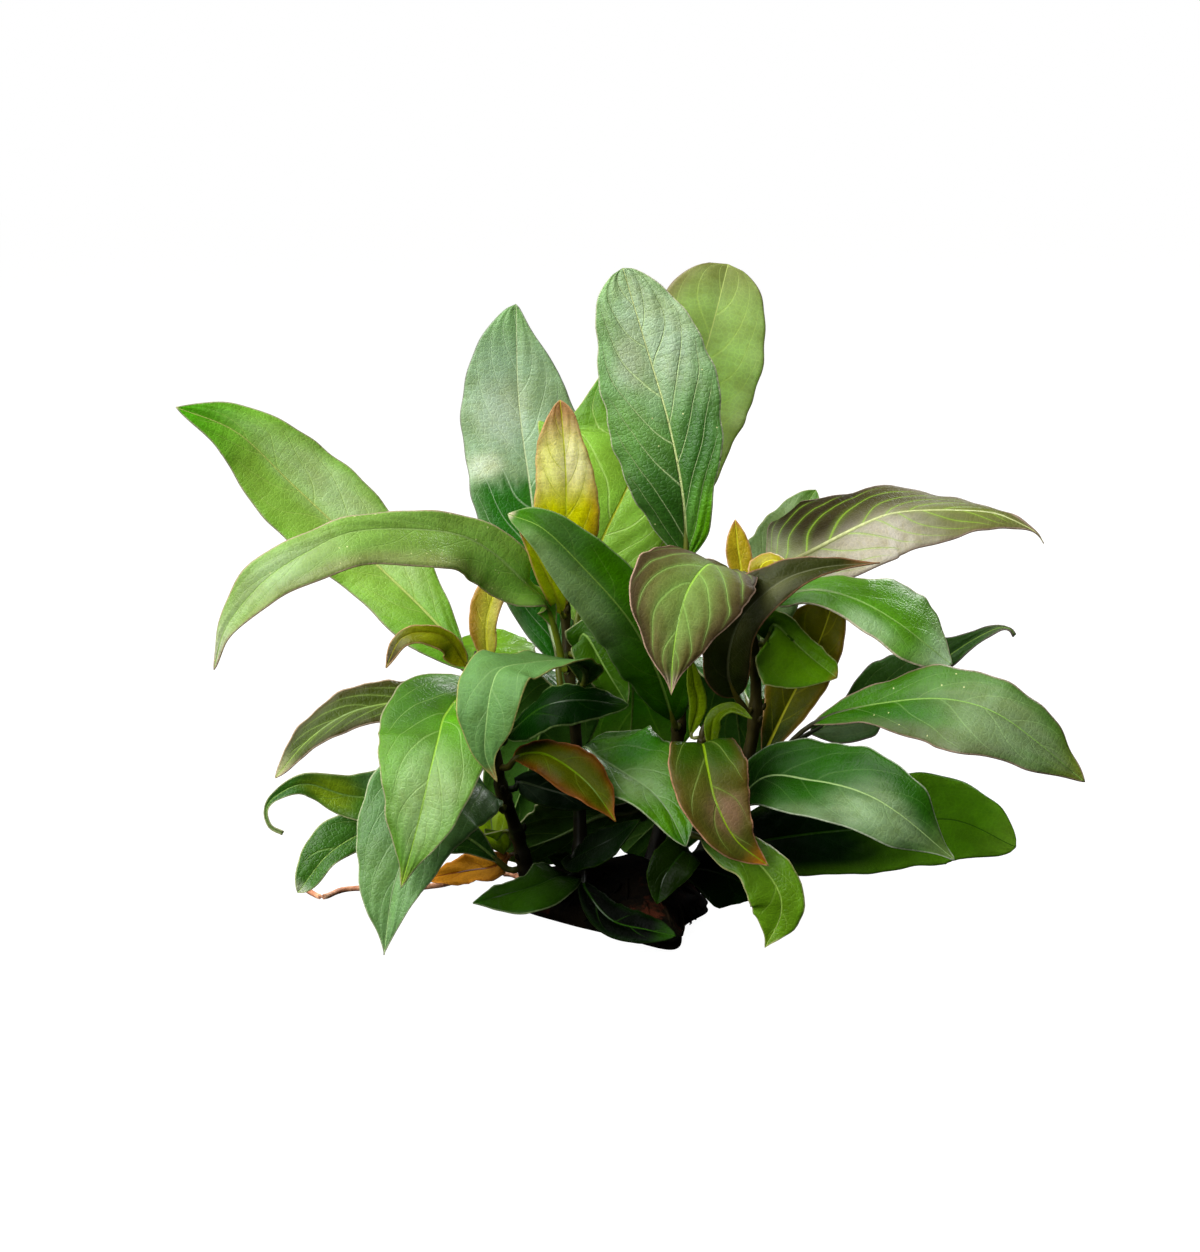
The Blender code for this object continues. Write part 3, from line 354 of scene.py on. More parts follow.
Leaf("leaf_left_bronze", LEFT, 0.74, 12.5, [(-39, -17, -1), (-50, -18.7, -4), (-62.5, -21.5, -7),
    (-72.5, -28, -9), (-81.2, -38, -10)], [(0, -0.6, 0.8), (-0.3, -0.8, 0.5)],
    BRONZE(main=0x3C4C0C, base=0x34320E, tip=0xB0B486, edge=0x402A12, vein=0x8AA84C, rim=0xBEA68C,
    edge_width=0.5, edge_strength=0.65, laterals=0.6, halo=0.2, gloss=0.15, rake=2.6, pitch=9),
    fullness=1.5, left=(1, 1, 0.95, 0.85, 0.8, 1), right=(1, 1, 1.02, 1.02, 1))
# the pale patch towards the tip is painted sheen
Leaf("leaf_left_broad", LEFT, 0.64, 27, [(-33.5, -18.5, -9), (-38.5, -22, -20), (-40.5, -28.5, -32),
    (-42.7, -37, -38), (-45.2, -48, -40), (-49.7, -65.4, -39)], [(0, 0.1, 1), (-0.1, -1, 0.3),
    (-0.2, -1, 0.1)],
    BRIGHT(main=0x609828, base=0x549E08, tip=0x96AA3C, vein=0xA8CC74, rim=0xBEB096, midrib=0x9CCC42,
    tip_from=0.92, patches=[(0.36, 0.55, 0.22, 0.7, 0x407022, 0.8),
    (0.46, -0.5, 0.14, 0.5, 0x62AE0A, 0.8), (0.76, -0.1, 0.16, 0.9, 0xA0BE82, 0.75)], specks=0.1),
    peak=0.5, fullness=1.3, fold=8, left=(0.5, 0.6, 1, 0.9, 0.4), right=(0.6, 1.14, 1.1, 0.9, 0.4))
Leaf("leaf_left_hook", LEFT, 0.46, 15, [(-37, -43, 4), (-50, -43, 3), (-62.5, -42.5, 0),
    (-73.7, -39.5, -2), (-81, -42.5, -3), (-83.5, -46, -3), (-82.5, -50, -3), (-79.2, -51.8, -3)],
    [(0, -0.7, 0.7), (0, -0.8, 0.6), (-0.3, -1, 0.1), (0, -1, 0)],
    GREEN(main=0x386C1E, tip=0x6E7854, edge=0x548042, vein=0x78A046,
    patches=[(0.62, 0, 0.1, 1, 0x8AA618, 0.8), (0.4, 0.7, 0.12, 0.5, 0x6E9264, 0.6)]), peak=0.34,
    fullness=2.6, tip=2.4)
Leaf("leaf_left_low_outer", LEFT, 0.14, 13.5, [(-23, -61, 10), (-27, -57.5, 9), (-34, -52.5, 9),
    (-45, -49.5, 7), (-53, -49.7, 5), (-61, -52.5, 1), (-68.7, -57.8, -2), (-75.6, -66.7, -4)],
    [(-0.1, -0.8, 0.6), (-0.2, -1, 0.2)],
    GREEN(main=0x3E6E20, base=0x184C08, tip=0xA6B096, tip_from=0.94, relief=0.9), peak=0.66, fullness=1.8,
    stalk=0.08, left=(1.6, 1.6, 1, 0.6, 0.55, 1), right=(1.3, 1.4, 1, 0.95, 1.15, 1))
Leaf("leaf_left_drooping", LEFT, 0.44, 26, [(-30, -39.5, -8), (-39, -41, -18), (-46.5, -50, -26),
    (-50, -60, -30), (-52.3, -68, -32), (-54, -82.3, -34)], [(0, -0.2, 1), (-0.1, -1, 0.2),
    (-0.1, -1, 0.1)],
    GREEN(main=0x628A52, base=0x266408, tip=0x544C38, vein=0x96B67C, rim=0xAAB28C, midrib=0x96BA76,
    tip_from=0.96, patches=[(0.36, 0.7, 0.14, 0.6, 0x2C7408, 0.85), (0.8, 0, 0.15, 1, 0x709C5A, 0.6)]),
    peak=0.43, fullness=1.8, fold=8, right=(1, 1, 1.2, 1.2, 1.3, 1))
Leaf("leaf_left_low_bright", LEFT, 0.3, 10, [(-26.2, -53.5, 14), (-27.2, -48.5, 18), (-28, -41, 22)],
    [(0.3, -1, 0.1), (0.2, -1, 0.2)],
    BRIGHT(main=0xCEF61E, base=0xBEEC14, stalk_radius=0.6, pitch=6))
Leaf("leaf_withered", LEFT, 0.2, 8, [(-26, -60, 16.5), (-33, -61, 20), (-43.2, -63.2, 22)],
    [(0, -0.8, 0.6)],
    WITHERED(), fullness=1.1)

# Middle
# the grey-green patch is painted sheen
Leaf("leaf_centre_large", CENTRE, 0.52, 18.5, [(18.5, -24, 6), (14, -11, -8), (6.5, 2.5, -18),
    (-5.5, 16, -22), (-14.5, 24.5, -22), (-23, 28, -16)], [(-0.2, -1, 0.3), (-0.5, -0.7, 0.7)],
    GREEN(main=0x326600, base=0x123800, tip=0xCCBEAA, vein=0x7EA046, rim=0x788C5A, midrib=0x70943A,
    tip_from=0.97, patches=[(0.72, -0.9, 0.24, 0.85, 0x6A8654, 0.95),
    (0.84, 0.5, 0.08, 0.6, 0x3C5C2C, 0.7)], laterals=0.15, gloss=0.04), fullness=1.3)
Leaf("leaf_centre_arched", CENTRE_LEFT, 0.65, 18.5, [(-3.5, -12.5, -6), (-4.5, -9.5, -13),
    (-10, -8.3, -24), (-18, -9, -34), (-24.5, -10.5, -41), (-27, -15, -45), (-28.3, -23, -47),
    (-28.7, -32, -47), (-25.7, -39, -46)], [(0.6, 0.1, 0.8), (0.2, 0, 1), (0, 0, 1), (-0.05, -0.1, 1),
    (-0.4, -0.7, 0.5), (-0.2, -1, 0.2), (-0.2, -1, 0.1)],
    GREEN(main=0x5A8446, base=0x103C08, tip=0xBE8C60, edge=0x5C8446, vein=0x96B878, rim=0xACA460,
    midrib=0x8CB268, base_from=0.28, base_to=0.48, tip_from=0.94, laterals=0.25, rough=0.5, gloss=0.16),
    peak=0.6, fullness=1.5, fold=6, curl=-0.06, left=(1, 1, 1, 1, 0.95, 0.3),
    right=(1, 1, 1, 1, 0.95, 0.3))
Leaf("leaf_centre_shaded", LEFT, 0.69, 14, [(-22, -26, -3), (-14, -20, -9), (-5, -18.3, -11),
    (7.2, -19.8, -10)], [(0, -0.6, 0.8)],
    DARK_PAINTED_SHADE(main=0x082802, rim=0x829C5A), fullness=1.3, fold=-8)
Leaf("leaf_centre_small", CENTRE_LEFT, 0.8, 12, [(-4, -2, 3), (1, -10, 1), (6.8, -19.6, 0)],
    [(0.1, -0.9, 0.4), (0.1, -0.9, 0.3)],
    GREEN(main=0x3E6A06, laterals=0.2, gloss=0.2))
Leaf("leaf_centre_amber", LEFT, 0.6, 12.5, [(-20.5, -32.5, -2), (-16, -31.7, -7), (-10.75, -33.5, -12),
    (-2.5, -39.75, -19), (4, -49, -22)], [(0, -0.8, 0.6), (0.1, -0.9, 0.5)],
    BRONZE(main=0x545C00, base=0x222C02, tip=0xB07A22, edge=0x7A3C0A, vein=0x70880E, rim=0xB06E3C,
    midrib=0x7CA404, edge_width=0.55, edge_strength=0.85, laterals=0.35, halo=0.05, gloss=0.06), peak=0.6,
    fullness=1.5, left=(1, 0.8, 0.85, 1, 0.9, 0.3), right=(1, 1, 1, 1, 0.85, 0.3))
# its grey patch is painted sheen
Leaf("leaf_centre_under", LEFT, 0.51, 11, [(-20, -39, 3), (-14, -40.5, 2), (-7, -42.5, 0),
    (2, -45.5, -2)], [(0, -0.7, 0.7)],
    DARK_PAINTED_SHADE(main=0x0A2A06, vein=0x647850, patches=[(0.3, 0.3, 0.12, 0.5, 0x4C624C, 0.6)]), peak=0.45)
# its pale grey-green patch is painted sheen
Leaf("leaf_centre_glossy", CENTRE_LEFT, 0.44, 21, [(-4, -30, 0), (0, -33, -5), (6, -36.8, -10),
    (12, -40.5, -15.5), (17, -46, -20.5), (21.5, -55.2, -24)], [(0.3, -0.6, 0.8), (0.1, -0.9, 0.5)],
    GREEN(main=0x549208, base=0x0A3804, tip=0x327014, vein=0xA0C482, rim=0xBEC8A0, base_from=0.12,
    base_to=0.34, patches=[(0.6, 0.2, 0.14, 0.7, 0x92B878, 0.8), (0.42, -0.6, 0.12, 0.6, 0x28820A, 0.7)],
    rough=0.28), peak=0.5, fullness=1.5, left=(1, 1.75, 1.35, 1.15, 1, 1),
    right=(0.85, 0.82, 0.82, 0.75, 0.75, 0.9))
Leaf("leaf_centre_veined", RIGHT, 0.985, 29, [(33.5, 13.5, -2), (30.5, 14.3, -8), (26.5, 15, -17),
    (21.5, 8, -27), (18.5, -5, -32), (17.8, -17.3, -33)], [(0.3, 0.3, 1), (-0.1, -1, 0.1)],
    BRONZE(main=0x58522C, base=0x54541E, tip=0xD2BEAC, edge=0x322216, vein=0x88B054, rim=0xC4A48C,
    midrib=0x96C446, tip_from=0.9, edge_width=0.45, edge_strength=0.85,
    patches=[(0.58, 0, 0.3, 0.55, 0x6E8842, 0.9), (0.36, 0.8, 0.12, 0.6, 0x50402E, 0.7)], laterals=0.5,
    halo=0.25, rough=0.55, gloss=0.06, quilt=0.2, pitch=10), peak=0.53, fullness=1.7, fold=8,
    left=(1, 1, 1, 1, 0.8, 0.3), right=(1, 0.85, 0.95, 1, 0.8, 0.3))
Leaf("young_leaf_front_upright", FRONT, 0.99, 4.5, [(24.5, -20, -15), (23.5, -14, -16),
    (22.5, -7.5, -17)], [(0.2, -1, 0.1)],
    GREEN(main=0x6C8604, base=0x4C6802, vein=0x5A7004, rim=0x6E821E, gloss=0.1, wave=0.2, quilt=0.1,
    stalk_radius=0.5, pitch=5))
Leaf("young_leaf_front_curled", FRONT, 0.96, 4.5, [(28.5, -23.5, -17), (33, -20.5, -19),
    (38, -23.2, -21)], [(0, -0.6, 0.8), (0.2, -0.6, 0.8)],
    GREEN(main=0x506804, base=0x304601, vein=0x5A7004, rim=0x6E821E, gloss=0.1, wave=0.2, quilt=0.1,
    stalk_radius=0.5, pitch=5))
# its pinkish-brown patch is painted sheen
Leaf("leaf_centre_low_bronze", FRONT, 0.86, 19, [(25.5, -29.5, -22), (27, -36, -29), (29, -44, -33),
    (34, -53.5, -35), (42.2, -60, -34)], [(0, 0, 1), (0, -1, 0.2)],
    BRONZE(main=0x4A4C16, base=0x2E4E04, tip=0xB8701A, edge=0x643C1E, vein=0x748C38, rim=0xBE8C6E,
    midrib=0x86A814, base_from=0.3, base_to=0.52, tip_from=0.84,
    patches=[(0.66, -0.2, 0.11, 0.6, 0x8E6E5A, 0.7)], laterals=0.6, halo=0.1, gloss=0.08), peak=0.42)

# Right side
Leaf("young_leaf_right_upright", RIGHT, 0.99, 6.5, [(35, 16, 4), (34.3, 21, 4), (33.8, 26.6, 4)],
    [(0, -1, 0.1)],
    YOUNG(main=0xB4A01E, edge=0xAA6E3C, stalk_radius=0.5))
Leaf("young_leaf_right_curled", RIGHT, 0.97, 6, [(40, 14.5, 0), (43.5, 16.5, -1), (47.5, 14.5, -2)],
    [(0, -0.5, 0.9), (0.3, -0.5, 0.8)],
    YOUNG(main=0xA0960C, stalk_radius=0.5))
# its lilac-grey patch is painted sheen
Leaf("leaf_right_top", RIGHT, 0.93, 24, [(43.75, 13.5, 4), (55, 20.2, 8), (67.5, 26.5, 10),
    (75, 28.7, 10), (87.5, 29.2, 8), (98, 28.6, 5), (104.5, 26.2, 3), (109, 23.5, 2), (111, 20.6, 2)],
    [(0, -0.55, 0.83)],
    BRONZE(main=0x58582E, base=0x7A8C38, tip=0x74744C, edge=0x685448, vein=0x92BE32, rim=0x968274,
    midrib=0xD0D890, base_to=0.2, edge_width=0.2, edge_strength=0.5,
    patches=[(0.42, 0.6, 0.26, 0.75, 0xBAB4A8, 0.9), (0.32, -0.75, 0.24, 0.8, 0x262004, 1),
    (0.75, 0.1, 0.16, 0.7, 0x6E7840, 0.6), (0.16, 0, 0.1, 2, 0xA0AA82, 0.6)], laterals=0.5, halo=0.1,
    rough=0.5, gloss=0.08, rake=1.3, pitch=7.5), peak=0.46, fold=-20, curl=0, tip=1.6,
    left=(1, 2.3, 1.5, 1.05, 0.4, 0.2), right=(1, 1, 1, 0.9, 0.85, 0.05))
# its grey patch is painted sheen
Leaf("leaf_right_folded", RIGHT, 0.62, 14.5, [(32, -12, -3), (34.5, 0.8, -10), (44, 10.3, -13),
    (55, 14.5, -12), (70, 15.8, -9)], [(-0.3, -1, 0.2), (-0.3, -0.6, 0.7)],
    BRONZE(main=0x323814, base=0x1E2C06, tip=0x825A32, edge=0x3C3024, vein=0x606446, rim=0x966E50,
    edge_width=0.5, patches=[(0.55, 0.2, 0.16, 0.6, 0x5C603E, 0.8)], laterals=0.15, halo=0, gloss=0.1),
    peak=0.4, fullness=1.9, fold=20)
Leaf("leaf_right_behind", RIGHT, 0.76, 19, [(42, 9, 16), (46.5, 20, 24), (50, 28, 31), (54, 34, 35)],
    [(-0.2, -0.9, 0.3)],
    GREEN(main=0x7A965C, base=0x3C6028, laterals=0.2), fullness=1.3)
# its pale tip colour and patch are painted sheen
Leaf("leaf_right_upper", RIGHT, 0.9, 18.5, [(44, 7, -1), (54, 9.3, -4), (64, 6.8, -8), (74, 1.3, -11),
    (82, -4.7, -12), (88, -9.7, -12)], [(0, -0.6, 0.8), (0.3, -0.7, 0.6)],
    GREEN(main=0x4E8814, base=0x2C6404, tip=0x9CB892, edge=0x60863C, vein=0x88B454, rim=0xCEBAA6,
    tip_from=0.78, patches=[(0.62, 0.7, 0.14, 0.4, 0x96B088, 0.6)], laterals=0.25, wave=0.4, rake=2.2,
    pitch=14), peak=0.58, fullness=1.35, fold=-8, left=(1, 0.75, 1, 1.6, 1.8, 1),
    right=(1, 0.6, 0.62, 0.75, 1, 1))
Leaf("leaf_right_under", RIGHT, 0.82, 19, [(43.5, 0.5, 2), (48, -3.5, 1.5), (53, -8, 0.5),
    (59.3, -13, -1)], [(0.2, -0.9, 0.4), (0.3, -0.9, 0.3)],
    GREEN(main=0x649A08, base=0x184202, tip=0x96742C, rim=0xC4C882, base_from=0.1, tip_from=0.92,
    laterals=0.1, gloss=0.12, wave=0.3), peak=0.5, fullness=1.4, left=(1, 0.45, 0.4, 0.5, 1),
    right=(1, 1.2, 1.5, 1.35, 1))
Leaf("leaf_right_olive", RIGHT, 0.42, 14, [(42, -30, 10), (47, -19.5, 12), (53, -8, 13), (57, 2, 13),
    (59, 10, 13)], [(-0.3, -1, 0.1)],
    YOUNG(main=0x767804, base=0x344802, tip=0xAA9654, base_from=0.2, base_to=0.6, laterals=0.2, gloss=0.1,
    through=0.2, stalk_radius=0.9, pitch=9), peak=0.6, left=(1, 1, 1.2, 1.6, 1.6, 1))
Leaf("leaf_right_far", RIGHT, 0.34, 20, [(40, -36, 14), (48, -29.5, 19), (57.5, -24, 24),
    (67.5, -18.5, 28), (77.5, -14.5, 30), (88, -6.9, 30), (94, -3, 29), (99.5, -0.5, 28.5),
    (102.5, -0.8, 28), (103.7, -2.4, 28)], [(0, -0.7, 0.7), (0.1, -0.7, 0.7)],
    GREEN(main=0x345C1E, base=0x243216, tip=0x687654, rim=0x826E6E, stalk=0x282C14,
    patches=[(0.4, 0.5, 0.12, 0.6, 0x607458, 0.6)], laterals=0.2, gloss=0.12, rake=2, pitch=13),
    peak=0.54, fullness=1.9, stalk=0.3, tip=3, left=(0.5, 0.4, 1, 1.05, 0.6, 0.8),
    right=(1.3, 1.1, 0.3, 0.4, 0.6, 1))
# its first, grey-green patch is painted sheen
Leaf("leaf_right_large", RIGHT, 0.28, 23.5, [(46, -31, -2), (52, -25.3, -6), (60, -21.2, -11),
    (75, -18.7, -19), (87.5, -18.5, -25), (99, -21.8, -31), (110.5, -29.8, -34), (121.2, -39, -34)],
    [(0, -0.6, 0.8), (0.3, -0.8, 0.5)],
    GREEN(main=0x386E02, base=0x285A02, tip=0x6A781E, edge=0x5C543C, vein=0x92B46C, rim=0x967C6E,
    stalk=0x2C2A0E, midrib=0x7EA84C, edge_width=0.12, edge_strength=0.6,
    patches=[(0.8, 0.1, 0.17, 1, 0x7A8C68, 0.75), (0.56, 0.5, 0.14, 0.5, 0x205400, 0.85),
    (0.66, 0.9, 0.2, 0.3, 0x605A4A, 0.5)], laterals=0.25, gloss=0.16, specks=0.1), peak=0.71,
    fullness=1.7, stalk=0.35, left=(0.5, 0.65, 0.85, 0.75, 0.88, 0.6),
    right=(1.1, 0.8, 1.1, 1.4, 1.05, 0.5))
# its near-black base is painted shade, and its grey-green patches are painted sheen
Leaf("leaf_right_low_large", RIGHT, 0.22, 23, [(40, -38.2, -12), (53, -38.5, -24), (65, -41.5, -33),
    (75, -47.2, -38), (88.7, -58.5, -38)], [(0, -0.6, 0.8), (0.2, -0.9, 0.4)],
    GREEN(main=0x1E5000, base=0x061E00, tip=0x6E8C4C, vein=0x709650, rim=0xB0BAA0, midrib=0x96B470,
    base_from=0.2, base_to=0.6, patches=[(0.78, 0.4, 0.14, 0.7, 0x809A70, 0.8),
    (0.62, 0.95, 0.12, 0.35, 0x687E5A, 0.7)], laterals=0.2, gloss=0.16), peak=0.6, fullness=1.4,
    left=(1, 1, 1, 1, 0.95, 0.35), right=(1, 1, 1, 1, 0.95, 0.35))
# its near-black base is painted shade
Leaf("leaf_right_low_behind", RIGHT, 0.1, 27, [(36, -55, 4), (52, -52, 2), (70, -50.3, 3), (88, -48.5, 2),
    (104, -55.3, -2)], [(0, -0.8, 0.6), (0.1, -0.8, 0.6)],
    BRIGHT(main=0x54880E, base=0x041E01, tip=0x6E9C28, vein=0x284E08, rim=0x3C5A1E, stalk=0x0A1402,
    midrib=0x30580A, base_from=0.45, base_to=0.8, laterals=0.08, gloss=0.04), peak=0.56, fullness=1.2,
    left=(1, 1, 1.18, 1.05, 1, 1), right=(1, 1, 0.95, 0.92, 1.2, 1))
Leaf("leaf_front_low", FRONT, 0.5, 12, [(29, -54, -19), (38, -58, -25), (44.5, -66, -28), (45, -73, -28),
    (41.2, -80.4, -27)], [(0, -0.6, 0.8), (0, -1, 0.1)],
    BRIGHT(main=0x689618, base=0x3C6404, tip=0x6E9614, base_from=0.3, base_to=0.6, laterals=0.25),
    peak=0.62, left=(1, 1, 1, 1, 1, 0.4), right=(1.9, 1.5, 1.1, 1.3, 1.4, 0.4))

# Around the foot
Leaf("leaf_low_centre", FRONT, 0.32, 11, [(21.5, -56, -15), (19, -58.5, -18), (16, -63, -20),
    (14.2, -69.5, -21)], [(0, -0.8, 0.6), (0, -0.9, 0.4)],
    DARK_PAINTED_SHADE(main=0x1A3002))
Leaf("leaf_low_pair", FRONT, 0.28, 12, [(22, -60.5, -6), (27, -61, -5), (33, -63, -4), (40.5, -67, -3)],
    [(0, -0.8, 0.6), (0, -0.9, 0.4)],
    DARK_PAINTED_SHADE(), fullness=1.2, left=(1, 1.1, 1), right=(1, 1.5, 1))
Leaf("leaf_low_left", CENTRE_LEFT, 0.1, 12, [(-10.5, -62.5, -8), (-16, -64.8, -13), (-24, -67, -15),
    (-31.8, -69.3, -15)], [(0, -0.6, 0.8)],
    DARK_PAINTED_SHADE(main=0x2C5403, tip=0x286006, rim=0x8CA06E), left=(1, 1.2, 1.6, 1), right=(1, 1, 0.6, 1))
# its lighter patch is a painted highlight
Leaf("leaf_low_shaded", CENTRE_LEFT, 0.17, 8, [(-7, -58.5, -3), (-3, -56, -8), (3, -53, -12),
    (10, -48.5, -15)], [(0, -0.7, 0.7)],
    DARK_PAINTED_SHADE(patches=[(0.6, 0, 0.2, 0.5, 0x364A32, 0.6)]), right=(1, 1.5, 1.6, 1))
Leaf("leaf_foot_front", CENTRE_LEFT, 0.12, 9, [(-4, -62.5, -7), (-3.5, -66, -16), (3, -73.5, -26),
    (12, -76, -32), (19, -77.5, -35)], [(0, -0.8, 0.6)],
    DARK_PAINTED_SHADE(main=0x010400, rim=0x141E0A, stalk=0x141A04, gloss=0.02), peak=0.7, stalk=0.3)
Leaf("young_leaf_foot", CENTRE_LEFT, 0.16, 4, [(-9.5, -58.5, 3), (-13, -57.5, 2)], [(0, -1, 0.2)],
    DARK_PAINTED_SHADE(stalk_radius=0.4))

# The side away from the viewer
Leaf("leaf_back_left", CENTRE_LEFT, 0.6, 31, [(-10.5, -12, 30), (-12, -14, 48), (-16, -30, 60),
    (-24, -53, 60)], [(0, 0.3, 1), (-0.1, 0.9, 0.4)],
    GREEN(), peak=0.62)
Leaf("leaf_back_right", RIGHT, 0.58, 31, [(35, -12, 30), (34, -11, 40), (34, -19, 50), (36, -37, 57)],
    [(0, 0.3, 1), (0.2, 0.9, 0.4)],
    GREEN(), left=(1, 1, 1.05, 1))
Leaf("leaf_back_middle", CENTRE, 0.64, 32, [(14, -12, 34), (9, -12, 56), (8, -22, 74), (7, -40, 82)],
    [(0, 0.2, 1), (0, 1, 0.3)],
    BRIGHT(main=0x548C14), peak=0.6, right=(1, 1.1, 1.35, 1.4))
# the darker green main colours of leaf_back_low and leaf_back_low_right are painted shade
Leaf("leaf_back_low", CENTRE, 0.3, 27, [(8, -46, 24), (0, -47, 32), (-11, -52.5, 38), (-25, -57.5, 38)],
    [(0, 0.3, 1), (0, 0.9, 0.4)],
    GREEN(main=0x2C5A0A), fullness=1.3)
Leaf("leaf_back_low_right", RIGHT, 0.24, 30, [(26, -44, 26), (21, -43, 40), (14, -49, 50),
    (6, -56.5, 52)], [(0, 0.3, 1), (0, 0.9, 0.4)],
    GREEN(main=0x30600C), peak=0.68, fullness=1.2)


def srgb(code):
    """A colour as Blender's shaders take it."""
    return tuple((c / 255 / 12.92) if c <= 10 else ((c / 255 + 0.055) / 1.055) ** 2.4
                 for c in code.to_bytes(3, "big"))


def sight(across, up):
    """The line of sight through (across, up) on the sheet."""
    return SHEET_CENTRE + Vector((across, 0, 0)) + up * SHEET_UP - EYE


def from_sheet(across, up, depth):
    """The place in space that is seen at (across, up) on the sheet and lies at this depth."""
    ray = sight(across, up)
    return EYE + ray * ((SHEET_CENTRE.y + depth - EYE.y) / ray.y)


def on_ground(across, up, height):
    """The place at this height that is seen at (across, up) on the sheet."""
    ray = sight(across, up)
    return EYE + ray * ((height - EYE.z) / ray.z)


def cubic(a, b, c, d, t):
    """The place between b and c on the smooth curve through four points."""
    return 0.5 * (2 * b + (c - a) * t + (2 * a - 5 * b + 4 * c - d) * t**2 + (3 * b - a - 3 * c + d) * t**3)


def smooth_points(points, count):
    """count points evenly spaced along the smooth curve through points, with the curve's direction
    at each, and their length in all."""
    ends = [2 * points[0] - points[1], *points, 2 * points[-1] - points[-2]]
    dense = [cubic(*four, i / CURVE_STEPS) for four in zip(ends, ends[1:], ends[2:], ends[3:])
             for i in range(CURVE_STEPS)]
    dense.append(points[-1])
    along = [0.0]
    for a, b in zip(dense, dense[1:]):
        along.append(along[-1] + (b - a).length)
    made = []
    k = 0
    for i in range(count):
        wanted = along[-1] * i / (count - 1)
        while k < len(along) - 2 and along[k + 1] < wanted:
            k += 1
        share = (wanted - along[k]) / max(along[k + 1] - along[k], 1e-9)
        made.append((dense[k].lerp(dense[k + 1], share), (dense[k + 1] - dense[k]).normalized()))
    return made, sum((b[0] - a[0]).length for a, b in zip(made, made[1:]))


def stem_spine(stem, count=41):
    return smooth_points([from_sheet(*p) for p in stem.path], count)


def stem_radius(stem, share, length):
    """The stem tapers, and swells where leaves leave it."""
    near = min(abs(share - n) * length for n in stem.nodes)
    swelling = 1 + NODE_SWELLING * max(0.0, 1 - near / NODE_REACH)
    return (stem.radius + (stem.tip_radius - stem.radius) * share) * swelling


def attachment(leaf):
    """Where the stalk begins, in the stem's surface, and where it comes free of the stem."""
    spine, length = stem_spine(leaf.stem)
    axis, direction = spine[round(leaf.at * (len(spine) - 1))]
    away = from_sheet(*leaf.path[0]) - axis
    away = (away - away.dot(direction) * direction).normalized()
    radius = stem_radius(leaf.stem, leaf.at, length)
    return axis + away * radius * STALK_ROOT, axis + away * (radius + STEM_GAP + 0.5 * STALK_WIDTH)


def unit(rows):
    return rows / np.maximum(np.linalg.norm(rows, axis=-1, keepdims=True), 1e-9)


def smooth(rows, reach):
    """Each row averaged with its neighbours, so that a turn in a table makes no crease."""
    padded = np.concatenate([np.repeat(rows[:1], reach, 0), rows, np.repeat(rows[-1:], reach, 0)])
    return sum(padded[k:k + len(rows)] for k in range(2 * reach + 1)) / (2 * reach + 1)


def ease(low, high, value):
    """0 below low, 1 above high, and a smooth slope between."""
    t = np.clip((value - low) / (high - low), 0, 1)
    return t * t * (3 - 2 * t)


def mixed(a, b, share):
    return a + (b - a) * share[:, None]


def read_off(rows, shares):
    """What rows at even steps of a length have at these shares of it."""
    even = np.linspace(0, 1, len(rows))
    return np.stack([np.interp(shares, even, column) for column in np.array(rows, float).T], 1)


def midline(leaf, spine, shares):
    """Centre, upper side's normal and direction across the blade at these shares of the length."""
    along = unit(read_off([d for _, d in spine], shares))
    face = smooth(read_off(leaf.face, shares), len(shares) // 14)
    normal = unit(face - (face * along).sum(1, keepdims=True) * along)
    return read_off([p for p, _ in spine], shares), normal, np.cross(along, normal)


def blade_share(leaf, shares):
    return np.clip((shares - leaf.stalk) / (1 - leaf.stalk), 0, 1)


def side_shares(leaf, t, side):
    """What the blade's left or right half has of its full width at each place."""
    made = []
    for shares in (leaf.left, leaf.right):
        place = t * (len(shares) - 1)
        k = np.minimum(place.astype(int), len(shares) - 2)
        values = np.array(shares, float)
        made.append(values[k] + (values[k + 1] - values[k]) * ease(0, 1, place - k))
    return np.where(side < 0, *made)


def blade_half(leaf, shares):
    """Half the blade's width."""
    low = STALK_HALF + (0.25 * leaf.tip - STALK_HALF) * shares
    t = blade_share(leaf, shares)
    p = (leaf.peak - leaf.stalk) / (1 - leaf.stalk)
    swell = (t / p) ** (p * leaf.fullness) * ((1 - t) / (1 - p)) ** ((1 - p) * leaf.fullness)
    return np.maximum(low, leaf.width / 2 * swell)


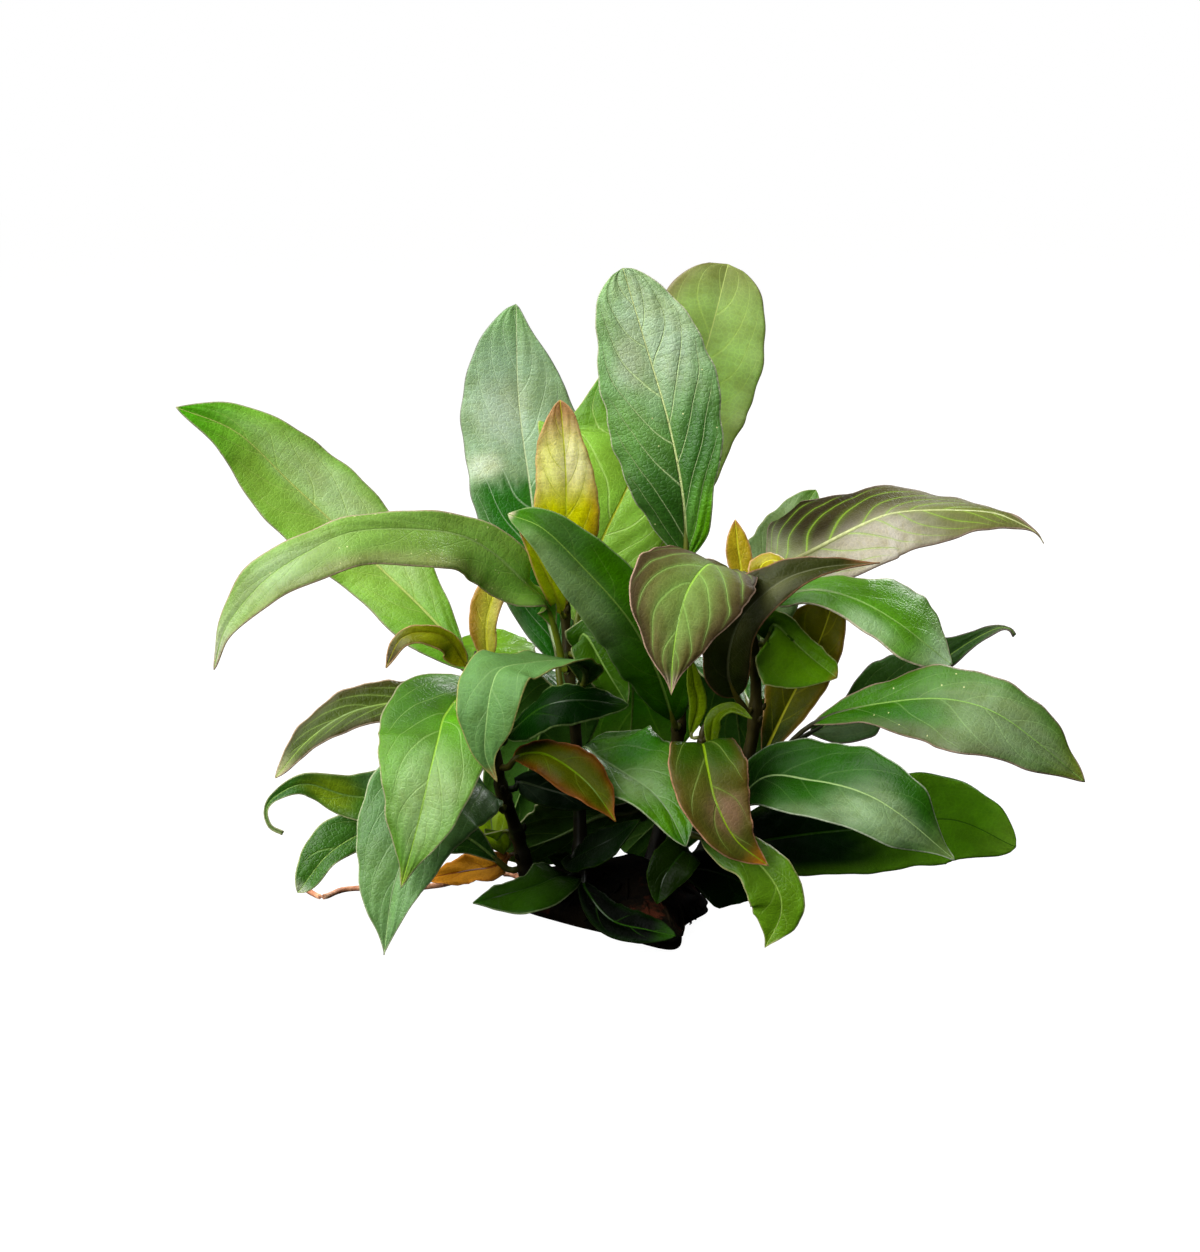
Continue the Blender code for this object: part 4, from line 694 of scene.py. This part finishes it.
def make_blade(leaf, spine, length, chance):
    """Points of the blade's middle surface, with its margins waved and its veins sunk, the normals of
    its rows, and its measures. Its phase counts the side veins: there is one where it passes a whole
    number and a half. A side vein leaves the midrib at a slant and bends on until it runs along the
    margin."""
    look = leaf.look
    rows = int(np.clip(length / BLADE_PITCH, *ROWS))
    columns = int(np.clip(leaf.width / BLADE_PITCH, *COLUMNS)) // 2 * 2 + 1
    even = np.linspace(0, 1, rows)
    shares = even - 0.25 * np.sin(math.tau * even) / math.tau
    lines = np.linspace(-1, 1, columns)
    lines = np.sign(lines) * np.abs(lines) ** CROWDING
    centre, normal, across = midline(leaf, spine, shares)
    half = blade_half(leaf, shares)[:, None]
    t, side = np.meshgrid(blade_share(leaf, shares), lines, indexing="ij")
    width = half * side_shares(leaf, t, side)
    out = np.abs(side)
    turns = [chance.uniform(0, math.tau) for _ in range(2 * len(WAVE_COUNTS) + 1)]
    waves = [np.sin(math.tau * count * t + np.where(side > 0, turns[2 * k], turns[2 * k + 1]))
             for k, count in enumerate(WAVE_COUNTS)]
    ruffle = look.wave * out**3 * sum(size * wave for size, wave in zip(WAVE_SIZES, waves))
    nick = 1 + NICK * out**3 * (waves[1] + 0.8 * waves[2])
    swing = SWING[1] * look.wave * np.sin(math.tau * SWING[0] * t + turns[-1]) * (1 - out**3)
    blade_length = length * (1 - leaf.stalk)
    phase = (t * blade_length - leaf.width / 2 * look.rake * (out + 0.8 * out**3)) / look.pitch
    bulge = np.cos(math.tau * (phase + np.where(side > 0, 0.5, 0)))
    pillow = look.quilt * bulge * np.sin(np.pi * out) ** 0.7
    groove = look.groove * np.exp(-(side * width / GROOVE_WIDTH) ** 2)
    rise = width * (math.tan(math.radians(leaf.fold)) * np.sqrt(side * side + 0.004)
                    + leaf.curl * side * side)
    up = rise + (ruffle + pillow - groove + swing) * np.clip(half / 4, 0, 1)
    points = (centre[:, None] + (width * nick * side)[..., None] * across[:, None]
              + up[..., None] * normal[:, None])
    measures = dict(share=np.repeat(shares[:, None], columns, 1), side=side, phase=phase,
                    across=side * width, along=t * blade_length, margin=width * (1 - out))
    return points, normal, {name: values.ravel() for name, values in measures.items()}


def shell_faces(rows, columns):
    """Faces of a closed thin shell: the upper sheet, the lower one, and the rim between them. The
    lower sheet's points follow the upper one's."""
    index = np.arange(rows * columns).reshape(rows, columns)
    a = index[:-1, :-1].ravel()
    top = np.stack([a, a + 1, a + columns + 1, a + columns], 1)
    loop = np.concatenate([index[0, :-1], index[:-1, -1], index[-1, :0:-1], index[:0:-1, 0]])
    after = np.roll(loop, -1)
    rim = np.stack([loop, loop + rows * columns, after + rows * columns, after], 1)
    return [top.tolist(), (top[:, ::-1] + rows * columns).tolist(), rim.tolist()]


def tube_faces(rows, sides):
    """Sides and end caps of a tube made of rings of points."""
    faces = [(i + k, i + (k + 1) % sides, i + sides + (k + 1) % sides, i + sides + k)
             for i in range(0, (rows - 1) * sides, sides) for k in range(sides)]
    return [*faces, tuple(reversed(range(sides))), tuple(range((rows - 1) * sides, rows * sides))]


def round_points(centres, first, second, radii, sides, ripple=0.0):
    """Rings of points round these centres, with an even ripple round them."""
    rings = []
    for k in range(sides):
        angle = math.tau * k / sides
        size = radii * (1 + ripple * math.cos(4 * angle))
        rings.append(centres + size[:, None] * (math.cos(angle) * first + math.sin(angle) * second))
    return np.stack(rings, 1).reshape(-1, 3)


def make_rib(leaf, spine):
    """Rings of the stalk, which goes on as a rib under the blade and fades towards the tip."""
    shares = np.linspace(0, RIB_END, RIB_ROWS)
    centre, normal, across = midline(leaf, spine, shares)
    size = leaf.look.stalk_radius * (0.10 + 0.90 * (1 - shares) ** 1.1)
    drop = (size * 0.8 + leaf.look.groove * 0.7) * np.clip(blade_share(leaf, shares) * 12, 0, 1)
    points = round_points(centre - drop[:, None] * normal, across, normal, size, RIB_SIDES)
    return points, np.repeat(shares, RIB_SIDES)


def paint_blade(look, share, side, chance):
    """The blade's colour at each point."""
    turns = [chance.uniform(0, math.tau) for _ in range(4)]
    ragged = 0.20 * np.sin(31 * share + 7 * side + turns[0]) * np.sin(13 * side + 9 * share + turns[1])
    ragged += 0.12 * np.sin(67 * share - 19 * side + turns[2]) * np.sin(29 * side + turns[3])
    colour = np.tile(srgb(look.main), (len(share), 1))
    colour = mixed(colour, srgb(look.base), 1 - ease(look.base_from, look.base_to, share + 0.1 * ragged))
    colour = mixed(colour, srgb(look.tip), ease(look.tip_from, 1.0, share))
    edge = ease(1 - look.edge_width, 1.0, np.abs(side)) * ease(0.05, 0.3, share) * look.edge_strength
    colour = mixed(colour, srgb(look.edge), edge)
    for place, across, reach, width, tint, strength in look.patches:
        near = ((share - place) / reach) ** 2 + ((side - across) / width) ** 2
        colour = mixed(colour, srgb(tint), strength * np.exp(-np.maximum(near + ragged, 0) ** 1.6))
    drift = np.sin(9 * share + 4 * side + chance.uniform(0, 6)) * np.sin(5 * share - 3 * side)
    return np.clip(colour * (1 + 0.10 * drift)[:, None], 0, 1)


def store(layer, rows, kind="vector"):
    layer.data.foreach_set(kind, np.asarray(rows, np.float32).ravel())


def make_piece(name, node, slot, points, faces, materials):
    """A mesh in place of a node's solid. Returns the mesh, and the painted shade of each point, which
    darkens its colours: from SHADE_LOW deep in the crowded middle to 1 outside it."""
    mesh = bpy.data.meshes.new(name)
    mesh.from_pydata((points * MM).tolist(), [], faces)
    for material in materials:
        mesh.materials.append(material)
    mesh.shade_smooth()
    off = np.linalg.norm((points - SHADE_CENTRE) / SHADE_REACH, axis=-1)
    shade = SHADE_LOW + (1 - SHADE_LOW) * ease(*SHADE_EDGE, off)
    store(mesh.attributes.new("crowd", "FLOAT", "POINT"), shade, "value")
    piece = bpy.data.objects.new(name, mesh)
    bpy.context.scene.collection.objects.link(piece)
    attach(piece, "root")
    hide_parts(node)
    return mesh, shade


def make_leaf(leaf, index, stalk_material):
    look = leaf.look
    chance = random.Random(zlib.crc32(leaf.name.encode()))
    spine, length = smooth_points([*attachment(leaf), *[from_sheet(*p) for p in leaf.path]], SPINE_STEPS)
    points, normal, measures = make_blade(leaf, spine, length, chance)
    half_thick = 0.5 * BLADE_THICKNESS * normal[:, None]
    rib, rib_shares = make_rib(leaf, spine)
    parts = shell_faces(*points.shape[:2])
    sheets = [(points + half_thick).reshape(-1, 3), (points - half_thick).reshape(-1, 3)]
    parts.append([tuple(i + 2 * len(sheets[0]) for i in f) for f in tube_faces(RIB_ROWS, RIB_SIDES)])
    materials = [leaf_material(leaf.name, look, 0), leaf_material(leaf.name + "_under", look, 1)]
    mesh, shade = make_piece(leaf.name + "_blade", leaf.name, look.slot, np.concatenate([*sheets, rib]),
                             sum(parts, []), [*materials, stalk_material])
    counts = [len(part) for part in parts]
    mesh.polygons.foreach_set("material_index", np.repeat([0, 1, 0, 2], counts).astype(np.int32))
    mesh.polygons.foreach_set("use_smooth", np.repeat([True, True, False, True], counts))
    shift = SHIFT * index
    vein = np.stack([measures["phase"] + TURN_SHIFT * index, measures["across"],
                     measures["along"] + shift], 1)
    edge = np.stack([measures[name] for name in ("margin", "share", "side")], 1)
    for name, rows, rest in (("vein", vein, (0.0, 0.0, shift)), ("edge", edge, NO_VEIN)):
        store(mesh.attributes.new(name, "FLOAT_VECTOR", "POINT"),
              np.concatenate([rows, rows, np.tile(rest, (len(rib), 1))]))
    onward = ease(leaf.stalk, leaf.stalk + RIB_FADE, rib_shares)
    rib_paint = mixed(np.tile(srgb(look.stalk), (len(rib), 1)),
                      np.array(srgb(look.midrib or look.vein)) * RIB_TONE, onward)
    paint = paint_blade(look, measures["share"], measures["side"], chance)
    under = mixed(paint, srgb(look.under), np.full(len(paint), UNDER_SHARE))
    # painted shade: the colours darken towards the crowded middle of the clump
    colours = np.concatenate([paint, under, rib_paint]) * shade[:, None]
    store(mesh.color_attributes.new("paint", "FLOAT_COLOR", "POINT"),
          np.concatenate([colours, np.ones((len(colours), 1))], 1), "color")


def ring_tube(points, radii, sides, ripple=0.0):
    """Points and faces of a closed tube."""
    places = np.array(points)
    steps = unit(np.gradient(places, axis=0))
    guide = np.array((0.31, 0.95, 0.07)) if abs(steps[0][1]) < 0.9 else np.array((1.0, 0.1, 0.0))
    first = unit(np.cross(steps, guide))
    rings = round_points(places, first, np.cross(steps, first), np.array(radii), sides, ripple)
    return rings, tube_faces(len(points), sides)


def joined(parts):
    """Several (points, faces) as one."""
    faces = []
    offset = 0
    for points, their in parts:
        faces.extend(tuple(i + offset for i in f) for f in their)
        offset += len(points)
    return np.concatenate([points for points, _ in parts]), faces


def make_stem(stem, material):
    """A stem with a ring at each node, a bud beside it and a growing point at the tip."""
    chance = random.Random(zlib.crc32(stem.name.encode()))
    spine, length = stem_spine(stem, STEM_RINGS)
    radii = []
    for share in np.linspace(0, 1, STEM_RINGS):
        near = min(abs(share - n) * length for n in stem.nodes)
        ring = 1 + 0.10 * math.exp(-((near - 1.2) / 0.5) ** 2)
        radii.append(stem_radius(stem, share, length) * ring)
    parts = [ring_tube([p for p, _ in spine], radii, STEM_SIDES, ripple=0.05)]
    tip, direction = spine[-1]
    parts.append(ring_tube([tip + direction * h for h in BUD_HEIGHTS],
                           [r * stem.tip_radius for r in BUD_RADII], 10))
    for n in stem.nodes:
        place, direction = spine[round(n * (STEM_RINGS - 1))]
        angle = chance.uniform(0, math.tau)
        out = Vector((math.cos(angle), math.sin(angle), 0))
        out = (out - out.dot(direction) * direction).normalized()
        foot = place + out * (stem_radius(stem, n, length) - 0.4)
        parts.append(ring_tube([foot + (out * 0.5 + direction) * h for h in KNOB_HEIGHTS], KNOB_RADII, 7))
    make_piece(stem.name + "_skin", stem.name, "stem", *joined(parts), [material])


def on_rootstock(turn, ring):
    """The place on the plan at this share of the way round it, the share of the plan, and the height, at
    this place among the rings."""
    count = len(ROOTSTOCK_PLAN)
    k = int(turn * count)
    corners = [Vector(ROOTSTOCK_PLAN[(k + i) % count]) for i in (-1, 0, 1, 2)]
    even = range(len(ROOTSTOCK_RINGS))
    scale, height = (float(np.interp(ring, even, column)) for column in zip(*ROOTSTOCK_RINGS))
    return cubic(*corners, turn * count - k), scale, height


def make_rootstock(material):
    """A rough crown with small roots grown over it."""
    chance = random.Random(5)
    sides = ROOTSTOCK_SIDES
    waves = [(chance.randint(2, 14), chance.randint(1, 9), chance.uniform(0, 6.28), chance.uniform(0.2, 1))
             for _ in range(ROUGH_WAVES)]
    points = []
    for ring in np.linspace(0, len(ROOTSTOCK_RINGS) - 1, ROOTSTOCK_ROWS):
        for k in range(sides):
            turn = k / sides
            place, scale, height = on_rootstock(turn, ring)
            rough = sum(a * math.sin(math.tau * n * turn + m * ring + p)
                        for n, m, p, a in waves) / ROUGH_WAVES
            lump = 1 + ROOTSTOCK_LUMPS * math.sin(math.tau * SIDE_LUMPS * turn + LUMP_TWIST * ring)
            bump = 1 + ROOTSTOCK_LUMPS * math.sin(math.tau * TOP_LUMPS * turn)
            grown = scale * (lump + ROUGHNESS[0] * rough)
            points.append((place.x * grown, place.y * grown, height * (bump + ROUGHNESS[1] * rough)))
    top = len(points)
    points.append((0, 0, ROOTSTOCK_TOP))
    faces = tube_faces(ROOTSTOCK_ROWS, sides)[:-1]
    faces += [(top - sides + k, top - sides + (k + 1) % sides, top) for k in range(sides)]
    parts = [(np.array(points, float), faces)]
    for _ in range(ROOTLETS):
        turn = chance.random()
        drift = chance.uniform(-ROOTLET_DRIFT, ROOTLET_DRIFT)
        start = chance.uniform(*ROOTLET_STARTS)
        radius = chance.uniform(*ROOTLET_RADII)
        line = []
        onward = [j / (ROOTLET_POINTS - 1) for j in range(ROOTLET_POINTS)]
        for j in onward:
            place, scale, height = on_rootstock((turn + drift * j) % 1, start * (1 - j) + 0.25)
            line.append((*(place * scale * 1.01), max(height, radius)))
        parts.append(ring_tube(line, [radius * (1 - 0.5 * j) for j in onward], 6))
    make_piece("rootstock_bark", "rootstock", "rootstock", *joined(parts), [material])


def make_root(material):
    points = [Vector((*ROOT_START, ROOT_RADIUS)), *[on_ground(*place, ROOT_RADIUS) for place in ROOT]]
    spine, _ = smooth_points(points, ROOT_RINGS)
    radii = [ROOT_RADIUS * (0.95 - 0.25 * i / ROOT_RINGS) * (1 + 0.05 * math.sin(i * 0.9))
             for i in range(ROOT_RINGS)]
    radii[-1] = ROOT_TIP_RADIUS
    make_piece("root_skin", "root", "root", *ring_tube([p for p, _ in spine], radii, 10), [material])


# Materials

class Wire:
    """A node's output, its first where no other is asked for. Arithmetic with it adds Math nodes."""

    def __init__(self, node, output=0):
        self.node = node
        self.output = output
        self.tree = node.id_data

    def __getitem__(self, output):
        return Wire(self.node, output)

    def calc(self, operation, *others):
        return add(self.tree, "Math", dict(enumerate((self, *others))), operation=operation)

    def __add__(self, other):
        return self.calc("ADD", other)

    def __sub__(self, other):
        return self.calc("SUBTRACT", other)

    def __rsub__(self, other):
        return add(self.tree, "Math", {0: other, 1: self}, operation="SUBTRACT")

    def __mul__(self, other):
        return self.calc("MULTIPLY", other)

    def __truediv__(self, other):
        return self.calc("DIVIDE", other)

    def __abs__(self):
        return self.calc("ABSOLUTE")


def add(tree, kind, inputs=(), **settings):
    """A node of this kind with its settings, and its inputs set or linked."""
    node = tree.nodes.new("ShaderNode" + kind)
    for name, value in settings.items():
        setattr(node, name, value)
    for key, value in dict(inputs).items():
        if isinstance(value, Wire):
            tree.links.new(value.node.outputs[value.output], node.inputs[key])
        else:
            node.inputs[key].default_value = value
    return Wire(node)


def step(value, low, high):
    """0 below low, 1 above high, and a smooth slope between."""
    return add(value.tree, "MapRange", {"Value": value, "From Min": low, "From Max": high},
               interpolation_type="SMOOTHSTEP")


def blend(share, a, b, how="MIX"):
    """Two colours mixed. At least one of the three is a Wire."""
    inputs = {0: share}
    for place, colour in ((6, a), (7, b)):
        inputs[place] = colour if isinstance(colour, Wire) else (*colour, 1)
    tree = next(value.tree for value in (share, a, b) if isinstance(value, Wire))
    return add(tree, "Mix", inputs, data_type="RGBA", blend_type=how)[2]


def noise(place, scale, detail=2.0, rough=0.5, dimensions="2D"):
    return add(place.tree, "TexNoise",
               {"Vector": place, "Scale": scale, "Detail": detail, "Roughness": rough},
               noise_dimensions=dimensions)


def attribute(tree, name, output):
    return add(tree, "Attribute", attribute_name=name)[output]


def cleared(thing):
    """The empty node tree of a material or a world."""
    thing.use_nodes = True
    thing.node_tree.nodes.clear()
    return thing.node_tree


def vein_masks(look, phase, across, share, margin, flat):
    """How much of a point is side vein or midrib, and how near it lies to one of them."""
    count = phase + across.calc("GREATER_THAN", 0.0) * 0.5 + (noise(flat, WOBBLE_SCALE, 0.0) * 0.6 - 0.3)
    away = abs(count.calc("FRACT") - 0.5) * (look.pitch * 0.75)
    inward = step(margin, 0.2, 3.0)
    side_vein = (1 - step(away / (inward * 0.13 + 0.06), 0.2, 2.4)) * (inward * look.laterals)
    midrib = 1 - step(abs(across) / (share * -0.30 + 0.40), 0.55, 1.5)
    near = 1 - step(away.calc("MINIMUM", abs(across)), 0.0, 1.8)
    return side_vein, midrib, near * inward


def leaf_material(name, look, under):
    """One side of a blade: veins in their own colour, a fine net and cross wrinkles between them, a pale
    rim, and some light that comes through."""
    material = bpy.data.materials.new(name)
    tree = cleared(material)
    vein = add(tree, "SeparateXYZ", {0: attribute(tree, "vein", "Vector")})
    edge = add(tree, "SeparateXYZ", {0: attribute(tree, "edge", "Vector")})
    across = vein[1]
    margin = edge[0]
    flat = add(tree, "CombineXYZ", {0: across, 1: vein[2]})
    side_vein, midrib, near = vein_masks(look, vein[0], across, edge[1], margin, flat)
    cells = add(tree, "TexVoronoi", {"Vector": flat, "Scale": NET_SCALE, "Randomness": 0.9},
                feature="DISTANCE_TO_EDGE", voronoi_dimensions="2D")
    net = 1 - step(cells["Distance"], 0.0, 0.22)
    ladder = add(tree, "CombineXYZ", {0: across * 0.45, 1: vein[2]})
    wrinkle = noise(ladder, WRINKLE_SCALE, 3.0, 0.6)
    cloud = noise(flat, CLOUD_SCALE, 3.0, 0.6)

    # painted shade: the veins, midrib and rim darken towards the crowded middle of the clump
    crowd = attribute(tree, "crowd", "Fac")
    vein_paint, rib_paint, rim_paint = (blend(1.0, srgb(code), crowd, "MULTIPLY")
                                        for code in (look.vein, look.midrib or look.vein, look.rim))
    colour = attribute(tree, "paint", "Color")
    colour = blend(step(cloud, 0.35, 0.7), colour, CLOUD_TINT, "MULTIPLY")
    # painted shade in the hollows of the cross wrinkles
    colour = blend(step(wrinkle, 0.55, 0.30), colour, WRINKLE_SHADE_TINT, "MULTIPLY")
    colour = blend(net * NET_STRENGTH, colour, NET_TINT, "MULTIPLY")
    if look.halo:
        colour = blend(near * look.halo, colour, vein_paint)
    colour = blend(side_vein * VEIN_STRENGTH, colour, vein_paint)
    colour = blend(midrib * VEIN_STRENGTH, colour, rib_paint)
    ragged = step(noise(flat, RIM_SCALE, 3.0, 0.7), 0.2, 0.6) * 0.5 + 0.35
    colour = blend((1 - step(margin, 0.10, 0.45)) * ragged, colour, rim_paint)
    if look.specks and not under:
        spots = add(tree, "TexVoronoi", {"Vector": flat, "Scale": SPECK_SCALE}, voronoi_dimensions="2D")
        chosen = add(tree, "SeparateColor", {0: spots["Color"]}).calc("LESS_THAN", look.specks)
        dot = spots["Distance"].calc("LESS_THAN", SPECK_SIZE)
        colour = blend(dot * chosen * 0.7, colour, srgb(SPECK))

    sink = 1.2 if under else -1.0
    height = side_vein * sink + wrinkle * 0.9 + midrib * sink + net * (0.2 * sink)
    bumps = add(tree, "Bump", {"Strength": look.relief, "Distance": BLADE_BUMP, "Height": height})
    sheen = noise(flat, SHEEN_SCALE, 3.0) * 0.2 + (look.rough + (0.02 if under else -0.1))
    skin = add(tree, "BsdfPrincipled", {"Base Color": colour, "Roughness": sheen,
                                        "Specular IOR Level": look.gloss, "Normal": bumps})
    glow = add(tree, "BsdfTranslucent",
               {"Color": blend(1.0, colour, THROUGH_TINT, "MULTIPLY"), "Normal": bumps})
    add(tree, "OutputMaterial", {0: add(tree, "MixShader", {0: look.through, 1: skin, 2: glow})})
    return material


def skin_material(name, paint, scale, detail, rough, relief, depth, gloss, stretch):
    """A skin with a drawn-out grain. paint takes the grain and the place, and gives the colour."""
    material = bpy.data.materials.new(name)
    tree = cleared(material)
    place = add(tree, "TexCoord")["Object"]
    drawn_out = add(tree, "Mapping", {"Vector": place, "Scale": (1, 1, stretch)})
    grain = noise(drawn_out, scale, *detail, "3D")
    bumps = add(tree, "Bump", {"Strength": relief, "Distance": depth, "Height": grain})
    skin = add(tree, "BsdfPrincipled",
               {"Base Color": paint(grain, place), "Roughness": grain * 0.2 + (rough - 0.1),
                "Specular IOR Level": gloss, "Normal": bumps})
    add(tree, "OutputMaterial", {0: skin})
    return material


def stalk_paint(grain, place):
    return blend(step(grain, 0.3, 0.7), attribute(grain.tree, "paint", "Color"), GRAIN_TINT, "MULTIPLY")


def bark_material(name, dark, light, accent, scale, rough, relief, gloss):
    """Bark or the skin of a root: two tones in the grain, with flecks of a third."""
    def paint(grain, place):
        colour = blend(step(grain, 0.35, 0.65), srgb(dark), srgb(light))
        flecks = step(noise(place, scale * 0.45, 4.0, 0.7, "3D"), 0.56, 0.66)
        colour = blend(flecks * 0.7, colour, srgb(accent))
        # painted shade: the bark darkens towards the crowded middle of the clump
        return blend(1.0, colour, attribute(grain.tree, "crowd", "Fac"), "MULTIPLY")
    return skin_material(name, paint, scale, (5.0, 0.62), rough, relief, BARK_BUMP, gloss, 0.3)


# Camera, floor and light

def place_object(name, data, place, target):
    """A new object at this place that looks at the target."""
    thing = bpy.data.objects.new(name, data)
    bpy.context.scene.collection.objects.link(thing)
    thing.location = place
    thing.rotation_mode = "QUATERNION"
    thing.rotation_quaternion = (Vector(target) - Vector(place)).to_track_quat("-Z", "Y")
    return thing


def make_camera():
    data = bpy.data.cameras.new("camera")
    data.sensor_width = SENSOR
    data.lens = SENSOR * EYE_DISTANCE / PICTURE_HEIGHT
    data.clip_start = 0.01
    bpy.context.scene.camera = place_object("camera", data, EYE * MM, SHEET_CENTRE * MM)


def make_floor():
    """A white floor that casts no light up under the leaves."""
    mesh = bpy.data.meshes.new("floor")
    corners = [(FLOOR_HALF * x, FLOOR_HALF * y, 0) for x, y in ((-1, -1), (1, -1), (1, 1), (-1, 1))]
    mesh.from_pydata(corners, [], [(0, 1, 2, 3)])
    floor = bpy.data.objects.new("floor", mesh)
    floor.location.z = -FLOOR_DROP
    floor.visible_diffuse = False
    floor.visible_glossy = False
    material = bpy.data.materials.new("floor")
    tree = cleared(material)
    skin = add(tree, "BsdfPrincipled",
               {"Base Color": (FLOOR_TONE, FLOOR_TONE, FLOOR_TONE, 1), "Roughness": 0.9,
                "Specular IOR Level": 0.0, "Emission Color": (1, 1, 1, 1),
                "Emission Strength": FLOOR_GLOW})
    add(tree, "OutputMaterial", {0: skin})
    mesh.materials.append(material)
    bpy.context.scene.collection.objects.link(floor)


def make_light(name, place, target, width, height, watts):
    data = bpy.data.lights.new(name, "AREA")
    data.shape = "RECTANGLE"
    data.size = width
    data.size_y = height
    data.energy = watts
    place_object(name, data, place, target)


def make_world():
    """A white background. As a light, the room is bright overhead, dimmer at the sides and dark below."""
    world = bpy.data.worlds.new("studio")
    bpy.context.scene.world = world
    tree = cleared(world)
    up = add(tree, "SeparateXYZ", {0: add(tree, "TexCoord")["Generated"]})[2]
    sides = blend(step(up, -0.10, 0.05), ROOM_UNDER, ROOM_SIDE)
    room = blend(step(up, 0.2, 0.9), sides, ROOM_TOP)
    rays = add(tree, "LightPath")
    light = add(tree, "Background",
                {"Color": room, "Strength": rays["Is Glossy Ray"] * (ROOM_MIRRORED - 1) + 1.0})
    white = add(tree, "Background", {"Color": (1, 1, 1, 1), "Strength": 1.0})
    both = add(tree, "MixShader", {0: rays["Is Camera Ray"], 1: light, 2: white})
    add(tree, "OutputWorld", {0: both})


def write_sizes():
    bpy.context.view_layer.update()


def main():
    stalk = skin_material("stalk", stalk_paint, scale=900.0, detail=(3.0, 0.5), rough=0.44, relief=0.3,
                          depth=STALK_BUMP, gloss=0.5, stretch=0.15)
    barks = {name: bark_material(name, *values) for name, values in BARKS.items()}
    for stem in (LEFT, CENTRE_LEFT, CENTRE, RIGHT, FRONT):
        make_stem(stem, barks["stem"])
    for index, leaf in enumerate(LEAVES):
        make_leaf(leaf, index, stalk)
    make_rootstock(barks["rootstock"])
    make_root(barks["root"])
    make_camera()
    make_floor()
    make_world()
    for light in LIGHTS:
        make_light(*light)
    bpy.context.scene.view_settings.view_transform = "Standard"
    write_sizes()


main()
